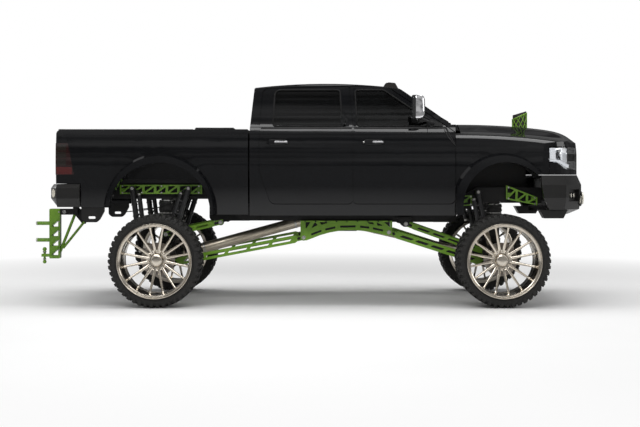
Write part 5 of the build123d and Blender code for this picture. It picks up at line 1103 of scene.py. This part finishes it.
def pillow(form, centre, half, turn=None, square=5.0, channels=(), depth=0.012, rings=20, around=40):
    """Stuffed block: square-shouldered, rounded at both ends, with sewn channels pressed into its faces."""
    centre, half = Vector(centre), Vector(half)
    made = []
    for i in range(rings + 1):
        t = math.cos(math.pi * i / rings)
        x = t * half.x
        shrink = max(1 - abs(t) ** square, 0.0) ** (1 / square)
        ring = []
        for a in spin(around):
            c, s = math.cos(a), math.sin(a)
            y = math.copysign(abs(c) ** (2 / square), c) * half.y * (0.06 + 0.94 * shrink)
            z = math.copysign(abs(s) ** (2 / square), s) * half.z * (0.04 + 0.96 * shrink)
            for along, at in channels:
                gap = (x if along == "x" else y) - at
                z -= math.copysign(depth * math.exp(-(gap / CREASE_WIDTH) ** 2), z) * abs(s)
            point = Vector((x, y, z + 0.008 * math.sin(9 * x + 4 * y) * abs(s)))
            ring.append(centre + (turn @ point if turn else point))
        made.append(ring)
    form.loft(made)


def seat(name, x, half, y, places):
    """Cushion, back, bolsters, head restraints and frame of one seat."""
    soft, base = Form(), Form()
    lean = Matrix.Rotation(math.radians(98), 4, "Y")
    each = half / len(places)
    for at in places:
        middle_y = y + at
        pillow(soft, (x + 0.215, middle_y, SEAT_FLOOR + 0.268), (0.262, each * 0.74, 0.066),
               channels=(("x", -0.06), ("x", 0.08), ("y", 0.0)))
        pillow(soft, (x - 0.052, middle_y, SEAT_FLOOR + 0.62), (0.33, each * 0.72, 0.058), lean,
               channels=(("x", -0.12), ("x", 0.02), ("x", 0.16)))
        pillow(soft, (x - 0.127, middle_y, SEAT_FLOOR + 1.022), (0.092, min(each * 0.52, 0.15), 0.045), lean, 3.5,
               channels=(("x", 0.0),), depth=0.005)
        for post in (middle_y + 0.055, middle_y - 0.055):
            base.rod((x - 0.118, post, SEAT_FLOOR + 0.86), (x - 0.125, post, SEAT_FLOOR + 1.0), 0.007)
    for edge in (y + half - 0.048, y - half + 0.048):
        pillow(soft, (x + 0.205, edge, SEAT_FLOOR + 0.272), (0.275, 0.050, 0.082), square=4.0)
        pillow(soft, (x - 0.050, edge, SEAT_FLOOR + 0.60), (0.335, 0.048, 0.074), lean, 4.0)
    for corners, radius, inset, bevel in (
            ([(-0.04, 0), (0.40, 0), (0.43, 0.20), (-0.07, 0.20)], 0.03, 0.03, 0.004),
            ([(-0.115, 0.24), (-0.09, 0.24), (-0.175, 0.90), (-0.20, 0.90)], 0.008, 0.02, 0.003)):
        base.plate(rounded([(x + a, SEAT_FLOOR + b) for a, b in corners], radius), "y", y - half + inset,
                   2 * half - 2 * inset, bevel)
    cushion = soft.piece(f"seat_{name}", HIDE_BLACK, smooth=50)
    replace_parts(cushion, "seats")
    base.piece(f"seat_base_{name}", PLASTIC)


def dashboard_details():
    """Instrument hood, dials, vents, screen, knobs, column stalks and gear lever."""
    trim, bright, dials = Form(), Form(), Form()
    trim.plate(rounded([(1.236, 1.915), (1.42, 1.955), (1.42, 1.985), (1.225, 1.972)], 0.012), "y", 0.24, 0.32, 0.006)
    for y in (0.33, 0.47):
        bright.turned([(0, 0.052), (0.006, 0.052), (0.006, 0.046), (0, 0.046)], (DIAL_X, y, DIAL_Z), (-1, 0, 0.12),
                      40, closed=True)
        dials.turned([(0, 0.046), (0.002, 0.046)], (DIAL_X, y, DIAL_Z), (-1, 0, 0.12), 40)
    for y in (-0.70, -0.20, 0.20, 0.70):
        trim.box((1.245, y - 0.055, 1.862), (1.262, y + 0.055, 1.918), 0.008)
        for k in range(4):
            bright.box((1.241, y - 0.045, 1.872 + k * 0.011), (1.246, y + 0.045, 1.875 + k * 0.011), 0.0008)
    dials.box((1.222, -0.10, 1.70), (1.234, 0.10, 1.80), 0.004)
    for y in (-0.06, 0.0, 0.06):
        bright.turned([(0, 0.017), (0.016, 0.016), (0.019, 0.013), (0.019, 0.0)], (1.218, y, 1.662), (-1, 0, 0.1), 24)
    for near, far in ((0.43, 0.55), (0.37, 0.25)):
        trim.rod((1.19, near, 1.86), (1.17, far, 1.88), 0.008, chamfer=0.003)
    trim.rod((0.96, 0, 1.56), (0.94, 0, 1.68), 0.010, chamfer=0.004)
    trim.ball((0.938, 0, 1.69), 0.026)
    trim.piece("dashboard_trim", GLOSS_TRIM)
    bright.piece("dashboard_bright_rings", STEEL, slot="mirror_chrome")
    dials.piece("dial_faces", GLOSS_TRIM)


def door_card(end, side, sign):
    """Inner door panel: padded armrest, map pocket, speaker, grab handle and release lever."""
    x0, x1 = DOOR_CARD_SPAN[end]
    face, proud = sign * DOOR_CARD_FACE, sign * (DOOR_CARD_FACE - 0.012)
    reach = sign * (DOOR_CARD_FACE - 0.045)
    card, bright = Form(), Form()
    card.plate(rounded([(x0, 1.585), (x1, 1.610), (x1 - 0.05, 1.665), (x0, 1.650)], 0.02), "y", face, -sign * 0.050,
               0.008)
    card.plate(rounded([(x0 + 0.02, 1.20), (x1 - 0.04, 1.20), (x1 - 0.02, 1.52), (x0 + 0.02, 1.52)], 0.03), "y",
               face, -sign * 0.014, 0.006)
    card.turned([(0, 0.085), (0.02, 0.082), (0.022, 0.072), (0.018, 0.070), (0.018, 0.0)], (x1 - 0.16, proud, 1.31),
                (0, -sign, 0), 40)
    card.tube([(x1 - 0.20, face, 1.70), (x1 - 0.19, reach, 1.72), (x1 - 0.10, reach, 1.80), (x1 - 0.09, face, 1.82)],
              0.013, 12)
    bright.box((x1 - 0.075, proud, 1.72), (x1 - 0.005, face, 1.745), 0.003)
    card.piece(f"door_card_{end}_{side}", PLASTIC, f"door_{end}_{side}")
    bright.piece(f"door_release_{end}_{side}", STEEL, f"door_{end}_{side}", "mirror_chrome")


for row in SEATS:
    seat(*row)
dashboard_details()
for side, sign in SIDES:
    for end in ENDS:
        door_card(end, side, sign)


# ---- folded cover over the front of the bed -----------------------------------------------------
def folded_cover():
    """Soft bed cover folded into four layers, each softly stuffed, with two straps over the stack."""
    soft, straps = Form(), Form()
    (x0, y0, floor_z), (x1, y1, top_z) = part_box("bed_cover")
    thick = (top_z - floor_z - 0.0012) / 4
    stations = 72
    for layer in range(4):
        inset = 0.004 + 0.007 * layer
        low = floor_z + 0.0006 + thick * layer
        middle_z = low + thick * 0.5
        outline = resampled(rounded(rectangle(x0 + inset, x1 - inset, low, low + thick * 0.98), thick * 0.48, 4), 0.03)
        rings = []
        for i in range(stations + 1):
            y = y0 + (y1 - y0) * i / stations
            taper = 1 - 0.35 * max(0.0, (abs(y) - 0.915) / 0.015)
            edge = 0.0035 * math.sin(13 * y + 1.7 * layer)
            ring = []
            for x, z in outline:
                ripple = 0.0011 * math.sin(23 * y + 9 * x + layer) + 0.0008 * math.sin(51 * y - 17 * x + 2 * layer)
                wave = edge * 0.6 if x < x0 + 0.05 or x > x1 - 0.05 else 0.0
                ring.append(Vector((x + wave, y, middle_z + (z - middle_z) * taper
                                    + ripple * (1 if z > middle_z else 0.3))))
            rings.append(ring)
        soft.loft(rings)
    top = top_z - 0.0008
    run = [(x0 + 0.001, floor_z + 0.004), (x0 + 0.008, top - 0.006), (x0 + 0.03, top - 0.0012), ((x0 + x1) / 2, top),
           (x1 - 0.03, top - 0.0012), (x1 - 0.008, top - 0.006), (x1 - 0.001, floor_z + 0.004)]
    for y in (-0.52, 0.52):
        straps.loft([[Vector((x, y + b, z + c)) for b, c in ((-0.019, 0), (0.019, 0), (0.019, -0.0022),
                                                             (-0.019, -0.0022))] for x, z in run])
        straps.box((x0 + 0.17, y - 0.026, top - 0.003), (x0 + 0.215, y + 0.026, top + 0.0006), 0.001)
    cover = soft.piece("folded_bed_cover", COVER, smooth=60)
    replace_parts(cover, "bed_cover")
    straps.piece("cover_straps", SEAL)


folded_cover()


# ---- hood stack, grille, bumpers and small body pieces ------------------------------------------
STACK_X, STACK_Y, STACK_LOW, STACK_RADIUS = 2.490, -0.250, 1.978, 0.083
GRILLE_BACK = 2.962
BUMPER_LAMP = (0.640, 1.180)
BED_RAIL_Z = 1.938
RIB_LOW, RIB_HIGH = 1.4245, 1.433
BUTTON = [(0, 0.013), (0.003, 0.012), (0.005, 0.006), (0.0052, 0.0)]
WIDE_BUTTON = [(0, 0.014), (0.003, 0.013), (0.005, 0.007), (0.0052, 0.0)]


def stack_point(angle, share):
    """Point of the sleeve, from its level foot (0) to its slanted top (1)."""
    top = 2.118 + 0.038 * math.cos(angle)
    return (STACK_X + STACK_RADIUS * math.cos(angle), STACK_Y + STACK_RADIUS * math.sin(angle),
            STACK_LOW + (top - STACK_LOW) * share)


def stack_sleeve():
    """Lattice sleeve of crossed bars round the hood stack, between two rings."""
    sleeve, foot = Form(), Form()
    for start in spin(10):
        for hand in (1, -1):
            sleeve.tube([stack_point(start + hand * k * 0.115, k / 8) for k in range(9)], 0.0048, 8)
    for share in (0, 1):
        sleeve.tube([stack_point(angle, share) for angle in spin(40)], 0.0065, 8, closed=True)
    foot.turned([(0, 0.092), (0.006, 0.096), (0.012, 0.084)], (STACK_X, STACK_Y, 1.962), Z_AXIS)
    sleeve.piece("stack_lattice_sleeve", LIFT_GREEN, "hood")
    foot.piece("stack_base_ring", SEAL, "hood")


def front_spots(skin, points):
    """Spots of a front skin at (y, z) points, with their normals turned straight ahead."""
    return [(skin.end(y, z, 1)[0], Vector(X_AXIS)) for y, z in points]


def grille_details():
    """Bright frame round the grille opening, bar faces, and mesh of crossing wires."""
    bright, wires = Form(), Form()
    outline = rounded([(-0.482, 1.494, 0.05), (0.482, 1.494, 0.05), (0.538, 1.620, 0.06), (0.512, 1.797, 0.05),
                       (-0.512, 1.797, 0.05), (-0.538, 1.620, 0.06)], 0.05, 6)
    bright.strip(front_spots(SKINS["grille_surround"], resampled(outline, 0.05)), 0.020, 0.007, closed=True)
    for i in range(5):
        bar = [(0.046 * k, 1.532 + i * 0.056) for k in range(-10, 11)]
        bright.strip(front_spots(SKINS["grille"], bar), 0.009, 0.0025)
    for i in range(47):
        y = -0.46 + 0.02 * i
        wires.box((GRILLE_BACK, y - 0.0015, 1.508), (GRILLE_BACK + 0.003, y + 0.0015, 1.782), 0)
    for i in range(14):
        z = 1.512 + 0.02 * i
        wires.box((GRILLE_BACK + 0.0025, -0.47, z - 0.0015), (GRILLE_BACK + 0.0055, 0.47, z + 0.0015), 0)
    bright.piece("grille_bright_frame", CHROME)
    wires.piece("grille_mesh", GLOSS_TRIM)


def bumper_details():
    """Lamp bezels, small lamps in the corner pockets, bolts, tow eyes and the blank rear plate."""
    dark, bright, pale, plate, edge = (Form() for _ in range(5))
    front, rear = SKINS["front_bumper"], SKINS["rear_bumper"]
    lamp_y, lamp_z = BUMPER_LAMP
    for sign in (1, -1):
        dark.turned([(0, 0.0715), (0.008, 0.0725), (0.012, 0.078), (0.008, 0.088), (0, 0.090)],
                    (3.1115, sign * lamp_y, lamp_z), X_AXIS, closed=True)
        for spot in circle(Vector((3.1392, sign * lamp_y, lamp_z)), Vector(Y_AXIS), Vector(Z_AXIS), 0.042, 6):
            dark.turned([(0, 0.016), (0.0006, 0.014)], spot, X_AXIS, 20)
        along = Vector((0.232, -0.348 * sign, 0)).normalized()
        outward = Vector((0.348, 0.232 * sign, 0)).normalized()
        corner = Vector((2.880, sign * 1.048, 1.216))
        for reach in (0.135, 0.205, 0.275):
            seat_at = corner + along * reach - outward * 0.041
            dark.turned([(0, 0.031), (0.016, 0.031), (0.019, 0.027), (0.012, 0.025), (0, 0.025)], seat_at, outward,
                        32, closed=True)
            pale.turned([(0.002, 0.025), (0.010, 0.0245), (0.013, 0.018), (0.0142, 0.0)], seat_at, outward, 28)
        for y, z in ((0.18, 1.295), (0.38, 1.295), (0.90, 1.25)):
            bright.turned(BUTTON, *front.end(sign * y, z, 1), 20)
        for y in (0.30, 0.62):
            bright.turned(WIDE_BUTTON, *rear.end(sign * y, 1.24, -1), 20)
        dark.turned([(-0.014, 0.034), (0.014, 0.034), (0.014, 0.018), (-0.014, 0.018)], (3.087, sign * 0.36, 1.105),
                    steps=32, closed=True)
    face = rear.end(0.0, 1.235, -1)[0].x
    plate.plate(rounded(rectangle(-0.152, 0.152, 1.160, 1.312), 0.012), "x", face - 0.0055, 0.002, 0.0006)
    rim = resampled(rounded(rectangle(-0.158, 0.158, 1.154, 1.318), 0.014), 0.03)
    edge.strip([(Vector((face - 0.0035, y, z)), Vector((-1, 0, 0))) for y, z in rim], 0.010, 0.004, closed=True)
    plate.piece("blank_rear_plate", PLATE_WHITE)
    edge.piece("rear_plate_frame", PLASTIC)
    dark.piece("bumper_lamp_bezels", GLOSS_TRIM)
    pale.piece("corner_pocket_lamps", PALE_LENS)
    bright.piece("bumper_bolts", STEEL)


def roof_and_screen():
    """Wipers, cowl grille, screen and backlight seals, roof ditch mouldings and the high brake light."""
    dark, rubber, red = Form(), Form(), Form()
    cab = Skin("cab_shell", "cab_glass")
    for y0, y1 in ((0.62, -0.02), (-0.04, -0.66)):
        pivot = Vector((1.70, y0, 2.035))
        spots = [cab.end(y1 + (y0 - 0.06 - y1) * k / 8, 2.112 + 0.02 * k / 8, 1) for k in range(9)]
        blade = [p + n * 0.008 for p, n in spots]
        rubber.tube(blade, 0.006, 8)
        dark.tube([pivot, pivot + Vector((-0.02, -0.05, 0.025)), blade[4] + Vector((0.012, 0.05, 0.006)), blade[4]],
                  0.0075, 8)
        dark.turned([(-0.01, 0.018), (0.012, 0.018), (0.018, 0.012)], pivot, Z_AXIS, 24)
    for i in range(26):
        y = -0.62 + 0.05 * i
        z = cab.top(1.705, y)[0].z
        dark.box((1.690, y - 0.014, z - 0.001), (1.742, y + 0.014, z + 0.002), 0.001)
    for half_low, half_high, low, high, sign in ((0.80, 0.655, 2.062, 2.378, 1), (0.64, 0.56, 1.990, 2.350, -1)):
        a, b, low, high = half_low * 1.012, half_high * 1.012, low - 0.010, high + 0.010
        outline = rounded([(-a, low), (a, low), (b, high), (-b, high)], 0.06, 8)
        rubber.strip([cab.end(y, z, sign) for y, z in resampled(outline, 0.05)], 0.020, 0.004, closed=True, crown=0.3)
        rubber.strip([cab.top(-0.36 + 1.36 * k / 16, sign * 0.688) for k in range(17)], 0.018, 0.005)
    red.plate(rounded(rectangle(-0.19, 0.19, 2.392, 2.420), 0.006), "x", cab.end(0.0, 2.405, -1)[0].x - 0.010, 0.014,
              0.003)
    dark.piece("wipers_and_cowl", PLASTIC)
    rubber.piece("screen_seals", SEAL)
    red.piece("high_brake_light", RED_LENS)


def bed_details():
    """Rail caps, floor ribs, tie-downs, the tailgate's cap and handle, and the fuel door seam."""
    caps, ribs, hooks, gate_cap, handle, seam = (Form() for _ in range(6))
    outline = rounded([(0.832, -0.004), (0.946, -0.004), (0.946, 0.004), (0.936, 0.008), (0.842, 0.008)], 0.002, 2)
    for sign in (1, -1):
        for ends in ((-2.690, -1.212), (-0.738, -0.612)):
            caps.loft([[Vector((x, sign * y, BED_RAIL_Z + z)) for y, z in outline] for x in ends])
        for x in (-2.45, -1.95, -0.95):
            hooks.tube([(x - 0.03, sign * 0.816, 1.80), (x - 0.03, sign * 0.785, 1.79), (x + 0.03, sign * 0.785, 1.79),
                        (x + 0.03, sign * 0.816, 1.80)], 0.006, 8)
    for i in range(13):
        y = -0.72 + 0.12 * i
        for a, b in ((-2.62, -2.16), (-0.98, -0.66)) if abs(y) > 0.60 else ((-2.62, -0.66),):
            ribs.box((a, y - 0.022, RIB_LOW), (b, y + 0.022, RIB_HIGH), 0.004)
    gate_cap.box((-2.713, -0.770, 1.9475), (-2.652, 0.770, 1.9525), 0.001)
    handle.plate(rounded(rectangle(-0.105, 0.105, 1.812, 1.856), 0.012), "x", -2.7025, 0.014, 0.003)
    flank_strip(seam, SKINS["bed"], 1, resampled(rounded(rectangle(-0.905, -0.735, 1.640, 1.800), 0.03), 0.02),
                0.005, 0.0007, closed=True, crown=0.3)
    caps.piece("bed_rail_caps", PLASTIC)
    ribs.piece("bed_floor_ribs", BED_LINER)
    hooks.piece("bed_tie_downs", STEEL)
    gate_cap.piece("tailgate_cap", PLASTIC, "tailgate")
    handle.piece("tailgate_handle", GLOSS_TRIM, "tailgate")
    seam.piece("fuel_door_seam", SEAL)


stack_sleeve()
grille_details()
bumper_details()
roof_and_screen()
bed_details()


# ---- studio -------------------------------------------------------------------------------------
CAMERA_DISTANCE = 14.0
CAMERA_HEIGHT = 1.44
CAMERA_X = 0.188
CAMERA_LENS = 73.05
CAMERA_SHIFT_Y = -0.060
WORLD_LIGHT = 0.45
SKY_EDGE, SKY_BAND, SKY_TOP, SKY_BEHIND = 0.26, 0.50, 0.24, 0.30
FAR_MIRRORED = 0.30
FLOOR_NEAR, FLOOR_FAR = 4.2, 9.0
WHITE = rgb(1, 1, 1)


def floor_finish():
    """Pale floor that fades into the white background away from the truck."""
    material = bpy.data.materials.new("Pale studio floor")
    material.use_nodes = True
    tree = material.node_tree
    at = object_place(tree)
    tone = mixed(tree, noise(tree, at, 0.6, 2.0)[0], rgb(0.84, 0.84, 0.84), rgb(0.88, 0.88, 0.88))
    shader = fill(tree, tree.nodes["Principled BSDF"],
                  {"Base Color": tone, "Roughness": 0.55, "Specular IOR Level": 0.2})
    distance = node(tree, "VectorMath", {0: at}, operation="LENGTH").outputs["Value"]
    mirrored = ranged(tree, node(tree, "LightPath").outputs["Is Glossy Ray"], 0.0, 1.0, 1.0, FAR_MIRRORED)
    white = node(tree, "Emission", {"Color": WHITE, "Strength": mirrored})
    blend = node(tree, "MixShader", {0: ranged(tree, distance, FLOOR_NEAR, FLOOR_FAR), 1: shader.outputs[0],
                                     2: white.outputs[0]})
    tree.links.new(blend.outputs[0], tree.nodes["Material Output"].inputs["Surface"])
    return material


floor_mesh = bpy.data.meshes.new("studio_floor")
floor_rings = bmesh.new()
bmesh.ops.create_circle(floor_rings, cap_ends=True, radius=60.0, segments=96)
floor_rings.to_mesh(floor_mesh)
floor_rings.free()
floor = linked("studio_floor", floor_mesh)
floor.location.z = cad_box[0][2] - 0.001
floor_mesh.materials.append(floor_finish())

world = bpy.data.worlds.new("Studio")
bpy.context.scene.world = world
world.use_nodes = True
sky = world.node_tree
back = sky.nodes["Background"]
paths = node(sky, "LightPath").outputs
direction = node(sky, "TexCoord").outputs["Generated"]
_, behind, climb = node(sky, "SeparateXYZ", {0: direction}).outputs
streaks = noise(sky, vector_maths(sky, "MULTIPLY", direction, (1.2, 1.2, 9.0)), 2.4, 3.0)[0]
mirrored_sky = product(sky, ranged(sky, climb, 0.10, 0.42, SKY_EDGE, SKY_BAND),
                       ranged(sky, climb, 0.50, 0.85, 1.0, SKY_TOP / SKY_BAND),
                       ranged(sky, behind, 0.2, 0.8, 1.0, SKY_BEHIND), ranged(sky, streaks, 0.36, 0.64, 0.30, 1.9))
glossy = product(sky, paths["Is Glossy Ray"], mirrored_sky)
plain = ranged(sky, paths["Is Glossy Ray"], 0.0, 1.0, WORLD_LIGHT, 0.0)
seen = maths(sky, "MAXIMUM", paths["Is Camera Ray"], paths["Is Transmission Ray"])
fill(sky, back, {"Color": WHITE, "Strength": maths(sky, "MAXIMUM", seen, maths(sky, "ADD", plain, glossy))})


def soft_lamp(name, place_at, aim, size, power):
    """Rectangular soft lamp aimed at a point."""
    data = bpy.data.lights.new(name, "AREA")
    data.shape = "RECTANGLE"
    data.size, data.size_y = size
    data.energy = power
    lamp = linked(name, data)
    lamp.location = place_at
    lamp.rotation_euler = (Vector(aim) - Vector(place_at)).to_track_quat("-Z", "Y").to_euler()


soft_lamp("overhead_softbox", (0, 0, 6.5), (0, 0, 0), (9.0, 4.0), 420)
soft_lamp("side_softbox", (-1.0, -8.0, 5.5), (0, 0, 1.2), (8.0, 2.0), 300)
soft_lamp("front_fill", (9.0, -4.0, 3.5), (1.5, 0, 1.2), (3.0, 3.0), 120)
soft_lamp("rear_fill", (-9.0, 4.0, 3.5), (-1.5, 0, 1.2), (3.0, 3.0), 110)

camera_data = bpy.data.cameras.new("side_view")
camera = linked("side_view", camera_data)
camera_data.sensor_width = 36.0
camera_data.lens = CAMERA_LENS
camera_data.shift_y = CAMERA_SHIFT_Y
camera.location = (CAMERA_X, -(CAMERA_DISTANCE + WHEEL_FACE_Y), CAMERA_HEIGHT)
camera.rotation_euler = (math.pi / 2, 0, 0)
bpy.context.scene.camera = camera
bpy.context.scene.view_settings.view_transform = "Standard"
